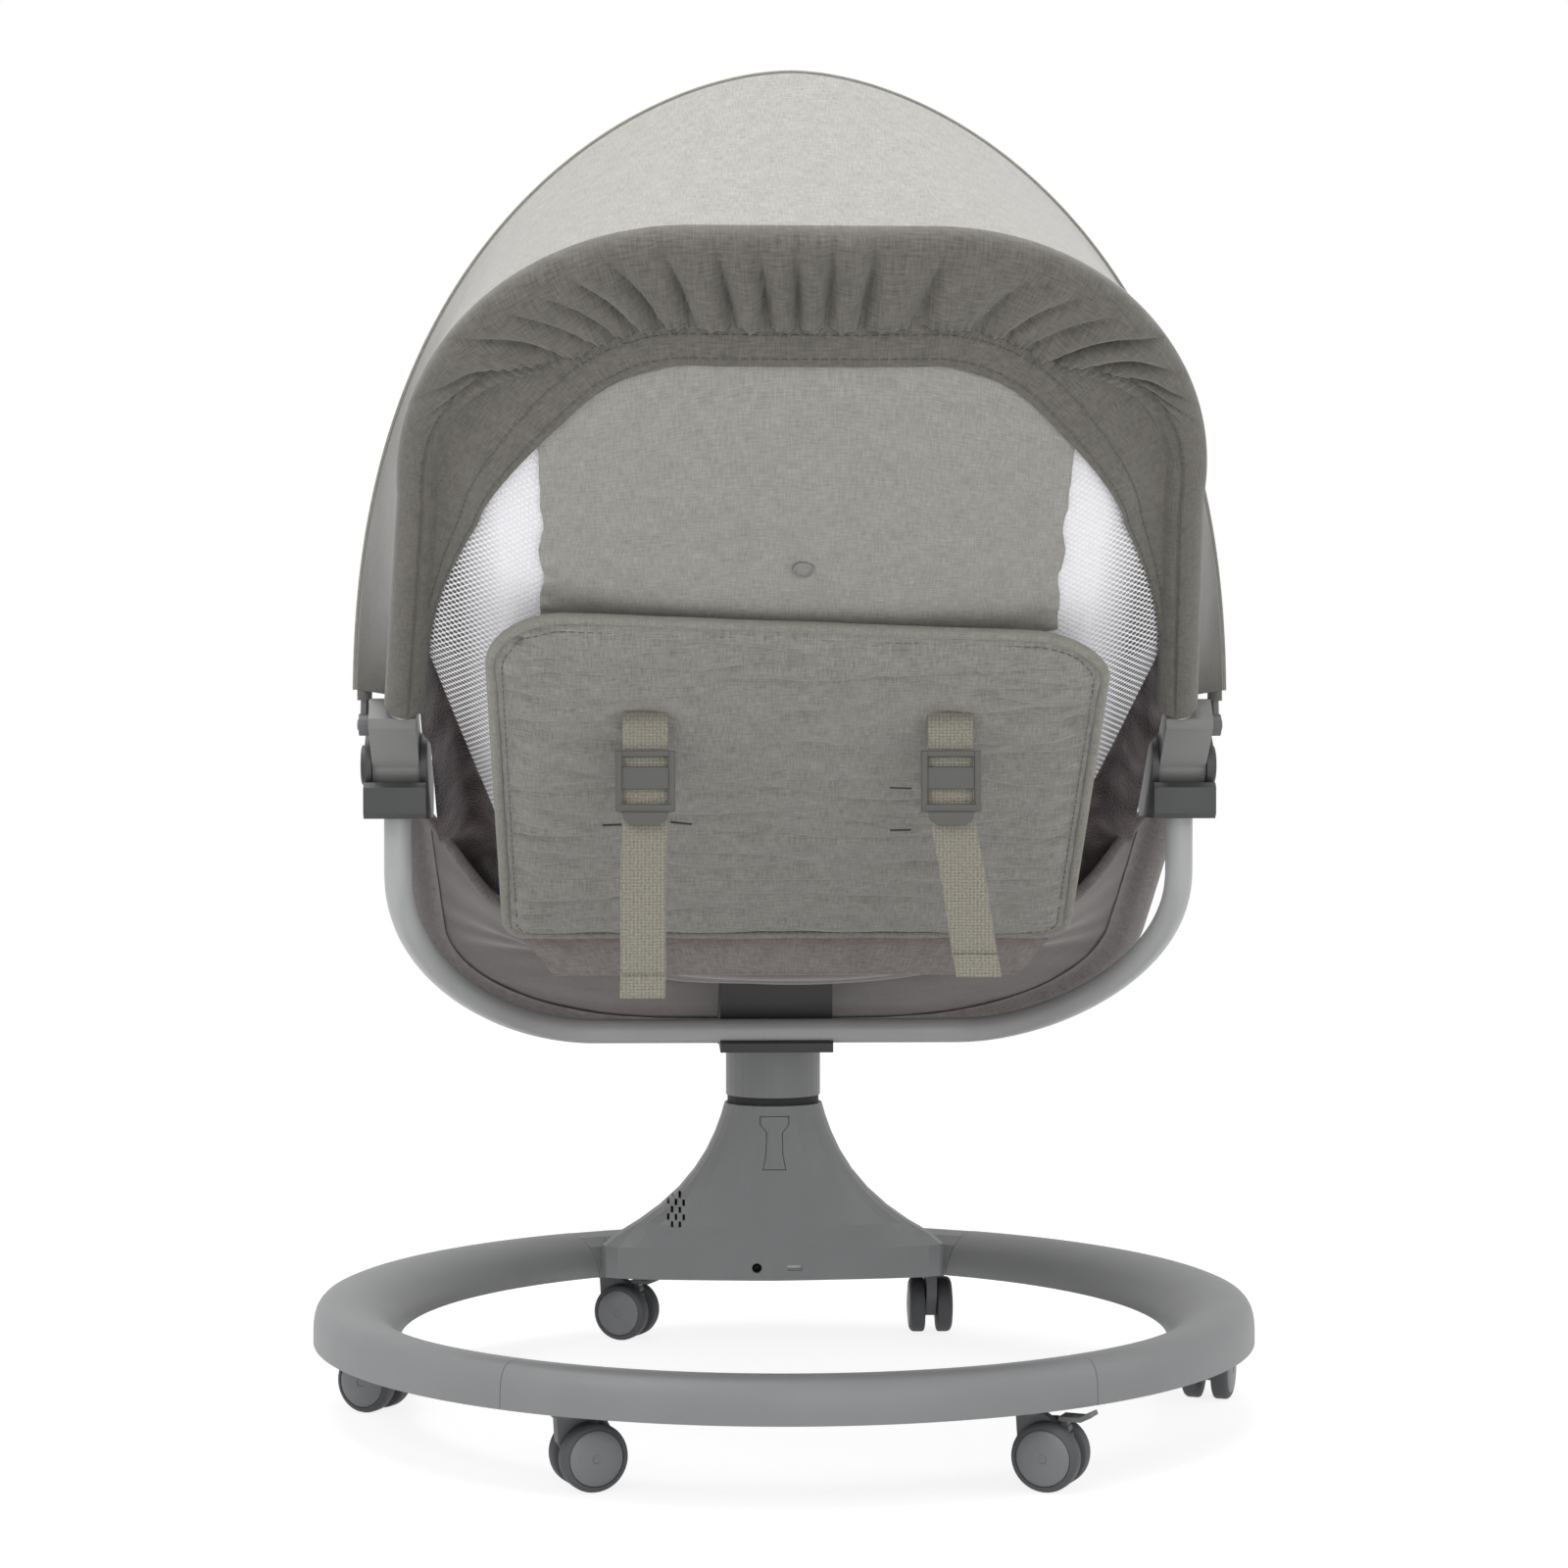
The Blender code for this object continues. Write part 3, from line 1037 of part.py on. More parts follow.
def build_joints(swing, back, buttons, surfaces):
    """Joint housings, knuckles and buttons on both sides."""
    for side, name in ((1, "left"), (-1, "right")):
        def at(x, y=JOINT_Y, z=JOINT_Z):
            return Vector((side * x, y, z))

        drop = JOINT_Z - HOUSING_DROP
        step = JOINT_Z - HOUSING_STEP
        front = JOINT_Y - HOUSING_FRONT
        rear = JOINT_Y + HOUSING_REAR
        outline = ((front, drop + 4 * MM), (front, step + 8 * MM), (front + 8 * MM, JOINT_Z + 3 * MM),
                   (JOINT_Y - KNUCKLE_RADIUS, JOINT_Z + 3 * MM), (JOINT_Y, step), (rear - 3 * MM, step),
                   (rear, step - 3 * MM), (rear, drop + 3 * MM), (rear - 3 * MM, drop),
                   (front + 4 * MM, drop))
        block = prism_x(outline, side * HOUSING_INNER, side * HOUSING_OUTER)
        housing = add_object(f"joint_housing_{name}", block, surfaces["joint_dark"], swing)
        for near in (HOUSING_INNER, HOUSING_OUTER - CHEEK_THICKNESS):
            join(housing, cylinder(at(near), at(near + CHEEK_THICKNESS), CHEEK_RADIUS, 24))
        cut(housing, cylinder(at(HOUSING_INNER + CHEEK_THICKNESS), at(HOUSING_OUTER - CHEEK_THICKNESS),
                              KNUCKLE_RADIUS + SEAT_GAP, 24))
        trunnion_end = KNUCKLE_INNER + TRUNNION_LENGTH
        join(housing, cylinder(at(HOUSING_INNER + MM), at(trunnion_end), TRUNNION_RADIUS, 20))
        cut(housing, cylinder(at(HOUSING_OUTER - 2 * CHEEK_THICKNESS), at(HOUSING_OUTER + MM),
                              BUTTON_RADIUS + SEAT_GAP, 24))
        socket = TUBE_RADIUS + SEAT_GAP
        foot = at(JOINT_OUT, JOINT_Y + CARRIER_SETBACK, drop - 5 * MM)
        cut(housing, cylinder(foot, foot + Vector((0, 0, 5 * MM + CARRIER_END + SEAT_GAP)), socket, 20))
        entry = leg_point(side * JOINT_OUT, LEG_TUBE_START - SEAT_GAP, 0)
        leg_out = JOINT_OUT + (LEG_WAIST - JOINT_OUT) * TUBE_BORE_REACH / LEG_STRAIGHT
        cut(housing, cylinder(entry, leg_point(side * leg_out, TUBE_BORE_REACH, 0), socket, 20))

        barrel = cylinder(at(KNUCKLE_INNER), at(KNUCKLE_OUTER), KNUCKLE_RADIUS, 24)
        knuckle = add_object(f"recline_knuckle_{name}", barrel, surfaces["joint_light"], back)
        tall = KNUCKLE_HALF_HEIGHT
        neck = ((6 * MM, -tall), (KNUCKLE_REACH - 4 * MM, -tall), (KNUCKLE_REACH, -tall + 4 * MM),
                (KNUCKLE_REACH, tall - 4 * MM), (KNUCKLE_REACH - 4 * MM, tall), (6 * MM, tall))
        faces = (side * (KNUCKLE_INNER + 0.1 * MM), side * (KNUCKLE_OUTER - 0.1 * MM))
        join(knuckle, loft([[back_point(x, reach, out) for reach, out in neck] for x in faces]))
        bore_end = at(trunnion_end + SEAT_GAP)
        cut(knuckle, cylinder(at(KNUCKLE_INNER - MM), bore_end, TRUNNION_RADIUS + SEAT_GAP, 20))
        pressed = BUTTON_INNER - BUTTON_TRAVEL
        stem_end = pressed - BUTTON_STEM_LENGTH - SEAT_GAP
        cut(knuckle, cylinder(at(pressed - SEAT_GAP), at(KNUCKLE_OUTER + MM), BUTTON_RADIUS + 0.4 * MM, 24))
        cut(knuckle, cylinder(at(stem_end), at(KNUCKLE_OUTER), BUTTON_STEM_RADIUS + SEAT_GAP, 20))
        tube_out = JOINT_OUT + (BACK_WAIST - JOINT_OUT) * TUBE_BORE_REACH / BACK_STRAIGHT
        tube_in = JOINT_OUT + (BACK_WAIST - JOINT_OUT) * BACK_TUBE_START / BACK_STRAIGHT
        start = back_point(side * tube_in, BACK_TUBE_START - SEAT_GAP, 0)
        cut(knuckle, cylinder(start, back_point(side * tube_out, TUBE_BORE_REACH, 0), socket, 20))
        pin_foot = back_point(side * (KNUCKLE_OUTER - MM), CANOPY_PIVOT_REACH, 0)
        pin_tip = back_point(side * (EYELET_OUTER + MM), CANOPY_PIVOT_REACH, 0)
        join(knuckle, cylinder(pin_foot, pin_tip, CANOPY_PIN_RADIUS, 16))

        cap = cylinder(at(BUTTON_INNER), at(BUTTON_OUTER), BUTTON_RADIUS, 24)
        button = add_object(f"recline_button_{name}", cap, surfaces["caster"], buttons[name])
        stem_foot = at(BUTTON_INNER - BUTTON_STEM_LENGTH)
        join(button, cylinder(stem_foot, at(BUTTON_INNER + MM), BUTTON_STEM_RADIUS, 20))


def build_hoop(canopy, surfaces):
    """Wire hoop of the canopy with an eyelet at each end."""
    path = [hoop_point(x, height) for x, height in hoop_outline(EYELET_RADIUS - MM, 32)]
    hoop = tube("hoop_wire", path, HOOP_WIRE_RADIUS, surfaces["caster"], canopy, 2)
    depsgraph = bpy.context.evaluated_depsgraph_get()
    mesh = bpy.data.meshes.new_from_object(hoop.evaluated_get(depsgraph))
    bpy.data.objects.remove(hoop)
    hoop = add_object("canopy_hoop", mesh, surfaces["caster"], canopy)
    for side in (1, -1):
        place = back_point(side * EYELET_INNER, CANOPY_PIVOT_REACH, 0)
        ring = [(CANOPY_PIN_RADIUS + SEAT_GAP, 0), (EYELET_RADIUS, 0), (EYELET_RADIUS, EYELET_THICKNESS),
                (CANOPY_PIN_RADIUS + SEAT_GAP, EYELET_THICKNESS)]
        join(hoop, turned(ring, place, 14, (side, 0, 0)))


# Cloth and pads

def back_half_width(reach):
    """Half width of the back's sling: it follows the tubes and narrows below them."""
    inset = TUBE_RADIUS + blend_value(BACK_EDGE_GAPS, reach)
    if reach >= BACK_FOLLOW:
        return loop_half_width(BACK_LOOP, reach, inset)
    share = (BACK_FOLLOW - reach) / (BACK_FOLLOW + BACK_BELOW)
    return loop_half_width(BACK_LOOP, BACK_FOLLOW, inset) * (1 - share) + BACK_LOWER_HALF * share


def back_sag(x, reach):
    """How far the middle of the back's sling stands out behind the tubes."""
    share = min(1.0, max(0.0, (BACK_LENGTH - TUBE_RADIUS - reach) / BACK_SAG_RUN))
    depth = BACK_SAG * (1 - (1 - share) ** 2)
    across = min(1.0, abs(x) / back_half_width(reach))
    return depth * (1 - across ** 3.5)


def back_grid(from_reach, to_reach, rows, columns, half_of, lift=0.0):
    """Points on the back's sling between two reaches."""
    grid = []
    for i in range(rows):
        reach = from_reach + (to_reach - from_reach) * i / (rows - 1)
        half = half_of(reach)
        row = []
        for j in range(columns):
            x = half * math.sin(math.pi / 2 * (2 * j / (columns - 1) - 1))
            row.append(back_point(x, reach, back_sag(x, reach) + lift))
        grid.append(row)
    return grid


def seat_grid(rows, columns, rear_extra, half_share, front):
    """Points on the leg part's sling, from its rear edge to its front."""
    inset = TUBE_RADIUS + EDGE_GAP
    grid = []
    for i in range(rows):
        row = []
        for j in range(columns):
            across = math.sin(math.pi / 2 * (2 * j / (columns - 1) - 1)) * half_share
            rear = rear_extra + blend_value(SEAT_REAR, abs(across))
            reach = rear + (front - rear) * i / (rows - 1)
            x = across * loop_half_width(LEG_LOOP, reach, inset)
            sag = blend_value(SEAT_SAG, reach) * (1 - abs(across) ** 2.5)
            row.append(leg_point(x, reach, sag))
        grid.append(row)
    return grid


def crown_table(rows, columns, edge, crown):
    """Thickness of a cushion: thin along its border and full in the middle."""
    table = []
    for i in range(rows):
        along = 2 * i / (rows - 1) - 1
        row = []
        for j in range(columns):
            across = math.sin(math.pi / 2 * (2 * j / (columns - 1) - 1))
            full = math.sqrt(max(0.0, (1 - abs(along) ** 4) * (1 - abs(across) ** 4)))
            row.append(edge + (crown - edge) * full)
        table.append(row)
    return table


def facing(normals, direction):
    """Turn all normals to the side of a direction."""
    middle = normals[len(normals) // 2][len(normals[0]) // 2]
    sign = 1 if middle.dot(direction) > 0 else -1
    return [[normal * sign for normal in row] for row in normals]


def build_slings(swing, back, surfaces):
    """Leg sling, back mesh, centre panel and the two pads that lie on them."""
    behind = back_point(0, 0, 1) - back_point(0, 0, 0)
    half = SLING_THICKNESS / 2
    inset = TUBE_RADIUS + EDGE_GAP

    grid = seat_grid(14, 15, 0, 1.0, LEG_LENGTH - inset)
    normals = facing(grid_normals(grid), Vector((0, 0, 1)))
    sling = two_sided(moved_grid(grid, normals, -half), moved_grid(grid, normals, half))
    add_object("seat_sling", sling, surfaces["lining"], swing)

    rows, columns = 13, 11
    grid = seat_grid(rows, columns, SEAT_PAD_START, PAD_HALF_SHARE, LEG_LENGTH - SEAT_PAD_END)
    normals = facing(grid_normals(grid), Vector((0, 0, 1)))
    foot = moved_grid(grid, normals, half + 2.2 * PAD_GAP)
    thick = crown_table(rows, columns, PAD_EDGE, PAD_CROWN)
    add_object("seat_pad", two_sided(foot, moved_grid(foot, normals, thick)), surfaces["plush"], swing)

    top = BACK_LENGTH - inset
    grid = back_grid(-BACK_BELOW, top, 13, 15, back_half_width)
    normals = facing(grid_normals(grid), behind)
    mesh = two_sided(moved_grid(grid, normals, -half), moved_grid(grid, normals, half))
    add_object("back_mesh", mesh, surfaces["mesh"], back)

    rows, columns = 11, 11
    grid = back_grid(-BACK_BELOW + BACK_PAD_START, top - BACK_PAD_END, rows, columns,
                     lambda reach: back_half_width(reach) * PAD_HALF_SHARE)
    normals = facing(grid_normals(grid), behind * -1)
    foot = moved_grid(grid, normals, half + PAD_GAP)
    thick = crown_table(rows, columns, PAD_EDGE, PAD_CROWN)
    add_object("back_pad", two_sided(foot, moved_grid(foot, normals, thick)), surfaces["plush"], back)

    grid = back_grid(BACK_PANEL_FROM, BACK_PANEL_TO, 7, 9, lambda reach: BACK_PANEL_WIDTH / 2)
    normals = facing(grid_normals(grid), behind)
    start = half + PANEL_GAP
    outside = moved_grid(grid, normals, start + BACK_PANEL_THICKNESS)
    cloth = two_sided(moved_grid(grid, normals, start), outside)
    add_object("back_panel", cloth, surfaces["cloth"], back)
    face = back_sag(0, SNAP_REACH) + start + BACK_PANEL_THICKNESS + 0.5 * MM
    foot_point, top_point = back_point(0, SNAP_REACH, face), back_point(0, SNAP_REACH, face + SNAP_HEIGHT)
    snap = cylinder(foot_point, top_point, SNAP_RADIUS, 20, SNAP_RADIUS * 0.7)
    add_object("snap_button", snap, surfaces["joint_light"], back)


def padded_face():
    """How far the padded panel's near face stands out behind the tubes."""
    return BACK_SAG + SLING_THICKNESS / 2 + PANEL_GAP + BACK_PANEL_THICKNESS + SEAT_GAP


def rounded_panel(shrink):
    """Outline of the padded panel as x and reach, drawn in evenly."""
    outline = []
    half = PADDED_WIDTH / 2
    corners = ((1, PADDED_TO, PADDED_TOP_CORNER, 0), (-1, PADDED_TO, PADDED_TOP_CORNER, 1),
               (-1, PADDED_FROM, PADDED_BOTTOM_CORNER, 2), (1, PADDED_FROM, PADDED_BOTTOM_CORNER, 3))
    for side, reach, radius, first in corners:
        centre_x = side * (half - radius)
        centre_r = reach - radius if first < 2 else reach + radius
        for k in range(6):
            angle = math.pi / 2 * (first + k / 5)
            outline.append((centre_x + (radius - shrink) * math.cos(angle),
                            centre_r + (radius - shrink) * math.sin(angle)))
    return outline


def build_padded_panel(back, surfaces):
    """Padded board behind the back with a piped edge."""
    near = padded_face()
    middle = PADDED_THICKNESS / 2
    edge = PADDED_EDGE / 2
    # Each ring: how far it is drawn in, and its height above the near face
    rings = ((PADDED_MARGIN, 0.0), (10 * MM, middle - edge * 0.9), (2.4 * MM, middle - edge), (0, middle),
             (2.4 * MM, middle + edge), (7 * MM, middle + edge * 0.7),
             (PADDED_MARGIN, PADDED_THICKNESS - 1.5 * MM))
    sections = []
    for shrink, height in rings:
        sections.append([back_point(x, reach, near + height) for x, reach in rounded_panel(shrink)])
    centre = (PADDED_FROM + PADDED_TO) / 2
    section = []
    for x, reach in rounded_panel(PADDED_MARGIN):
        top_reach = centre + (reach - centre) * PADDED_TOP_SHARE
        section.append(back_point(x * PADDED_TOP_SHARE, top_reach, near + PADDED_THICKNESS))
    sections.append(section)
    add_object("padded_panel", loft(sections), surfaces["cloth"], back)


def build_straps(back, surfaces):
    """Two straps that leave the padded panel and hang down, each with its ladder buckle."""
    face = padded_face() + PADDED_THICKNESS
    names = (("left", 1), ("right", -1))
    for (name, side), drop, lean in zip(names, STRAP_DROPS, STRAP_LEANS):
        root = back_point(side * STRAP_OUT, STRAP_REACH, face + SEAT_GAP + 0.2 * MM)
        out = back_point(0, 0, 1) - back_point(0, 0, 0)
        down = Vector((0, 0, -1))
        bar_top = BUCKLE_DROP
        bar_low = BUCKLE_DROP + BUCKLE_HEIGHT
        middle = (bar_top + bar_low) / 2
        weave = BUCKLE_THICKNESS + STRAP_THICKNESS + 2 * SEAT_GAP
        hang = (
            (5 * MM, 0.0), (bar_top + BUCKLE_BAR + MM, 0.0),
            (middle - BUCKLE_BAR, weave), (middle + BUCKLE_BAR, weave),
            (bar_low - BUCKLE_BAR - MM, 0.0), (bar_low + 4 * MM, 0.0),
            ((bar_low + drop) / 2, 0.6 * MM), (drop, 2 * MM),
        )
        start = root + out * STRAP_LIFT
        centres = [(root, out), (start, (out + Vector((0, 1, 0))).normalized())]
        for fall, proud in hang:
            centres.append((start + down * fall + Vector((0, proud, 0)), Vector((0, 1, 0))))
        half = STRAP_THICKNESS / 2
        sections = []
        for k, (centre, direction) in enumerate(centres):
            share = max(0.0, (start.z - centre.z - bar_low) / (drop - bar_low))
            shift = Vector((lean * share, 0, 0))
            across = Vector((STRAP_WIDTH / 2, 0, 0))
            thick = Vector((0, 0, half)) if k == 0 else direction * half
            if k == 0:
                thick = Vector((0, direction.z, -direction.y)) * -half
            centre = centre + shift
            sections.append([centre - across - thick, centre + across - thick,
                             centre + across + thick, centre - across + thick])
        add_object(f"strap_{name}", loft(sections), surfaces["webbing"], back, 30)

        window = STRAP_WIDTH + 2 * SEAT_GAP + 0.6 * MM
        near = start.y + half + SEAT_GAP + 0.05 * MM
        low = Vector((root.x - BUCKLE_WIDTH / 2, near, start.z - bar_low))
        high = Vector((root.x + BUCKLE_WIDTH / 2, near + BUCKLE_THICKNESS, start.z - bar_top))
        buckle = add_object(f"buckle_{name}", box(low, high), surfaces["buckle"], back)
        windows = ((bar_top + BUCKLE_BAR, middle - BUCKLE_BAR / 2),
                   (middle + BUCKLE_BAR / 2, bar_low - BUCKLE_BAR))
        for first, last in windows:
            hole_low = Vector((root.x - window / 2, near - MM, start.z - last))
            hole_high = Vector((root.x + window / 2, near + 2 * BUCKLE_THICKNESS, start.z - first))
            cut(buckle, box(hole_low, hole_high))


def build_canopy_cloth(back, surfaces):
    """Canopy from its front hoop over the back's tube to the gathered hem behind."""
    tube_outline = resample(loop_outline(BACK_LOOP, KNUCKLE_REACH + 5 * MM), CANOPY_COLUMNS + 1)
    tube_out = outward(tube_outline)
    hoop_line = resample(hoop_outline(CANOPY_START, 60), CANOPY_COLUMNS + 1)
    hoop_out = outward(hoop_line)
    wrap = TUBE_RADIUS + CANOPY_CLEARANCE + CANOPY_THICKNESS / 2
    over = HOOP_WIRE_RADIUS + CANOPY_CLEARANCE + CANOPY_THICKNESS / 2
    hoop_slope = BACK_SLOPE + math.radians(HOOP_OPEN_DEG)
    rearward = Vector((0, math.sin(hoop_slope), -math.cos(hoop_slope)))
    grid = []
    for k in range(CANOPY_COLUMNS + 1):
        half, reach = tube_outline[k]
        ex, er = tube_out[k]
        share = k / CANOPY_COLUMNS
        ease = min(1.0, min(share, 1 - share) * 7)
        wave = 0.5 - 0.5 * math.cos(2 * math.pi * GATHER_COUNT * share)
        inset = HEM_INSET * (0.35 + 0.65 * ease)
        column = []
        # The hem first, then round the tube to its upper side
        for part, rise in ((1.0, 1.0), (0.55, 0.8)):
            hx, hr = half - ex * inset * part, reach - er * inset * part
            out = back_sag(hx, hr) * part + HEM_RISE + (wrap - HEM_RISE) * (1 - part)
            out = max(out, wrap * (1 - part * 0.4)) + GATHER_DEPTH * wave * rise * ease
            column.append(back_point(hx, hr, out))
        for angle_deg in (80, 35, -10, -40):
            angle = math.radians(angle_deg)
            swell = 1 + 0.22 * wave * ease * max(0.0, math.sin(angle))
            out = wrap * math.sin(angle) * swell
            side = wrap * math.cos(angle)
            column.append(back_point(half + ex * side, reach + er * side, out))
        hoop_half, height = hoop_line[k]
        hx, hh = hoop_out[k]
        end = hoop_point(hoop_half + hx * over, height + hh * over)
        corner = hoop_point(hoop_half + hx * over * 0.75, height + hh * over * 0.75) + rearward * over * 0.75
        start = column[-1]
        column += [start.lerp(corner, 0.35), start.lerp(corner, 0.7), corner, end]
        grid.append(column)
    normals = grid_normals(grid)
    normals = facing(normals, Vector((0, 0, 1)))
    half = CANOPY_THICKNESS / 2
    cloth = two_sided(moved_grid(grid, normals, -half), moved_grid(grid, normals, half))
    add_object("canopy_fabric", cloth, surfaces["cloth_light"], back)


def make_surfaces():
    """Surfaces of all pieces."""
    return {
        "shell": make_material("shell_plastic", "8b8b8a", 0.45),
        "joint_light": make_material("knuckle_plastic", "878786", 0.45),
        "joint_dark": make_material("housing_plastic", "5c5d5d", 0.5),
        "dark": make_material("dark_plastic", "3a3a3b", 0.5),
        "dark_gloss": make_material("panel_plastic", "1c1d1f", 0.15),
        "caster": make_material("caster_plastic", "636466", 0.5),
        "tyre": make_material("tyre_rubber", "55565a", 0.6),
        "black_rubber": make_material("black_rubber", "202021", 0.7),
        "steel": make_material("steel", "b5b6b8", 0.35, 1.0),
        "tube": make_material("tube_paint", "7d7e7e", 0.4, 0.2),
        "copper": make_material("copper_winding", "a86a3d", 0.4, 1.0),
        "board": make_material("circuit_board", "2c5a3c", 0.5),
        "cloth": make_material("heather_cloth", "8d8c85", 0.9),
        "cloth_light": make_material("canopy_cloth", "a3a29c", 0.9),
        "lining": make_material("lining_cloth", "5f5654", 0.9),
        "mesh": make_material("white_mesh", "e4e5e8", 0.8),
        "plush": make_material("plush", "b3adb6", 0.95),
        "webbing": make_material("webbing", "8c8a7c", 0.85),
        "buckle": make_material("buckle_plastic", "6c6d66", 0.5),
    }


def centre_on_footprint(root):
    """Move the root so that the origin is the middle of the footprint."""
    bpy.context.view_layer.update()
    depsgraph = bpy.context.evaluated_depsgraph_get()
    places = []
    for thing in bpy.context.scene.objects:
        if thing.type not in {"MESH", "CURVE"}:
            continue
        shaped = thing.evaluated_get(depsgraph)
        places += [thing.matrix_world @ vertex.co for vertex in shaped.to_mesh().vertices]
        shaped.to_mesh_clear()
    for k in range(2):
        root.location[k] = -(min(place[k] for place in places) + max(place[k] for place in places)) / 2
    bpy.context.view_layer.update()
    print("root moved to", [round(value, 6) for value in root.location])


def main():
    for thing in list(bpy.data.objects):
        bpy.data.objects.remove(thing)
    surfaces = make_surfaces()
    root = add_empty("cradle", (0, 0, 0))
    base = add_empty("base", (0, 0, 0), root)
    latch_at = (0, PEDESTAL_Y + NECK_RADIUS, PEDESTAL_TOP - LATCH_DROP - LATCH_HEIGHT / 2)
    latch = add_empty("latch_slide", latch_at, base)
    swing = add_empty("swing_axis", (0, PEDESTAL_Y, COLLAR_BOTTOM), base)
    back = add_empty("recline_axis", (0, JOINT_Y, JOINT_Z), swing)
    canopy = add_empty("canopy_axis", back_point(0, CANOPY_PIVOT_REACH, 0), back)
    buttons = {
        "left": add_empty("button_slide_left", (HOUSING_OUTER, JOINT_Y, JOINT_Z), swing),
        "right": add_empty("button_slide_right", (-HOUSING_OUTER, JOINT_Y, JOINT_Z), swing),
    }
    build_pedestal(base, latch, surfaces)
    build_base(base, surfaces)
    build_casters(base, surfaces)
    build_swing(swing, surfaces)
    build_joints(swing, back, buttons, surfaces)
    build_hoop(canopy, surfaces)
    back_path = [back_point(half, reach, 0) for half, reach in loop_outline(BACK_LOOP, BACK_TUBE_START)]
    tube("back_frame_tube", back_path, TUBE_RADIUS, surfaces["tube"], back)
    build_slings(swing, back, surfaces)
    build_padded_panel(back, surfaces)
    build_straps(back, surfaces)
    build_canopy_cloth(back, surfaces)
    centre_on_footprint(root)


main()
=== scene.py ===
# Baby cradle seen from behind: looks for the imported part, built piece by piece in its own frame.
import math

import bmesh
import bpy
import numpy as np
from mathutils import Matrix, Vector, noise
from mathutils.bvhtree import BVHTree


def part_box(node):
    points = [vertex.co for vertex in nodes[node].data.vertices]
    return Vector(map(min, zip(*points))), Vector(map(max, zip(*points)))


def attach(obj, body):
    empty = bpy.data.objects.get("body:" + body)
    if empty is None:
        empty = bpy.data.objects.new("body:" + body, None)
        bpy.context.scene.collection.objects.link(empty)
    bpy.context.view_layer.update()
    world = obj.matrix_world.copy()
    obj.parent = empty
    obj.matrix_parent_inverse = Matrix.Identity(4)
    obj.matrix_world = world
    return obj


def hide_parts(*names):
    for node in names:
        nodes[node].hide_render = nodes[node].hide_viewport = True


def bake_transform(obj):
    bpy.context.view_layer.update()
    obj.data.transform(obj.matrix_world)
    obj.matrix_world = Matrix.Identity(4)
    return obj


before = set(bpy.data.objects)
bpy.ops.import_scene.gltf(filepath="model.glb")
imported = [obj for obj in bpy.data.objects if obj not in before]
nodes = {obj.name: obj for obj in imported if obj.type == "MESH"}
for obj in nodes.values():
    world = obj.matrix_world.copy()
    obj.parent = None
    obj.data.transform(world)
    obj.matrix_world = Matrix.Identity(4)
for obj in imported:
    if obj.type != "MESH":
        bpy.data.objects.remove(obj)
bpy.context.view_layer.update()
mm = 0.001
print("frame loaded:", len(nodes), "nodes")

# Where the tubes, joints and hoop run: the part's own sizes.
ringCentreY = -61.033 * mm
joint = {"y": 33.717 * mm, "z": 395 * mm, "out": 229 * mm}
backSlope = math.radians(40.3)
legSlope = math.radians(26.5)
hoopSlope = math.radians(89.3)
canopyPivot = {"y": 61.173 * mm, "z": 418.285 * mm}
backLoop = {"length": 397 * mm, "straight": 225 * mm, "waist": 205 * mm, "flat": 60 * mm}
legLoop = {"length": 408 * mm, "straight": 233 * mm, "waist": 231 * mm, "flat": 77 * mm}
hoop = {"height": 370 * mm, "half": 246 * mm, "sidePower": 1.12, "risePower": 0.833}
tubeRadius = 8 * mm


def backPoint(x, reach, out):
    # reach runs up the back from the joint, out stands off behind it
    return np.array((x, joint["y"] + reach * math.cos(backSlope) + out * math.sin(backSlope),
                     joint["z"] + reach * math.sin(backSlope) - out * math.cos(backSlope)))


def legPoint(x, reach, sag):
    return np.array((x, joint["y"] - reach * math.cos(legSlope) + sag * math.sin(legSlope),
                     joint["z"] - reach * math.sin(legSlope) - sag * math.cos(legSlope)))


def hoopPoint(x, height):
    return np.array((x, canopyPivot["y"] + height * math.cos(hoopSlope),
                     canopyPivot["z"] + height * math.sin(hoopSlope)))


def smooth(low, high, value):
    share = min(1.0, max(0.0, (value - low) / (high - low)))
    return share * share * (3 - 2 * share)


def fromTable(table, value):
    for (low, a), (high, b) in zip(table, table[1:]):
        if value <= high:
            return a + (b - a) * smooth(low, high, value)
    return table[-1][1]


def ripple(x, y, z=0.0):
    return noise.noise(Vector((x, y, z)))  # repeatable, between -1 and 1


def loopHalf(loop, reach, inset):
    if reach <= loop["straight"]:
        return joint["out"] + (loop["waist"] - joint["out"]) * max(0.0, reach) / loop["straight"] - inset
    across = loop["waist"] - loop["flat"] - inset
    share = min(1.0, (reach - loop["straight"]) / (loop["length"] - loop["straight"] - inset))
    return loop["flat"] + across * math.sqrt(1 - share * share)


def loopOutline(loop, start):
    # one side of a tube's loop, straight and then round to the middle, and the same mirrored
    steps = 48
    side = [(joint["out"] + (loop["waist"] - joint["out"]) * start / loop["straight"], start)]
    for k in range(steps + 1):
        angle = math.pi / 2 * k / steps
        side.append((loop["flat"] + (loop["waist"] - loop["flat"]) * math.cos(angle),
                     loop["straight"] + (loop["length"] - loop["straight"]) * math.sin(angle)))
    return side + [(-half, reach) for half, reach in reversed(side)]


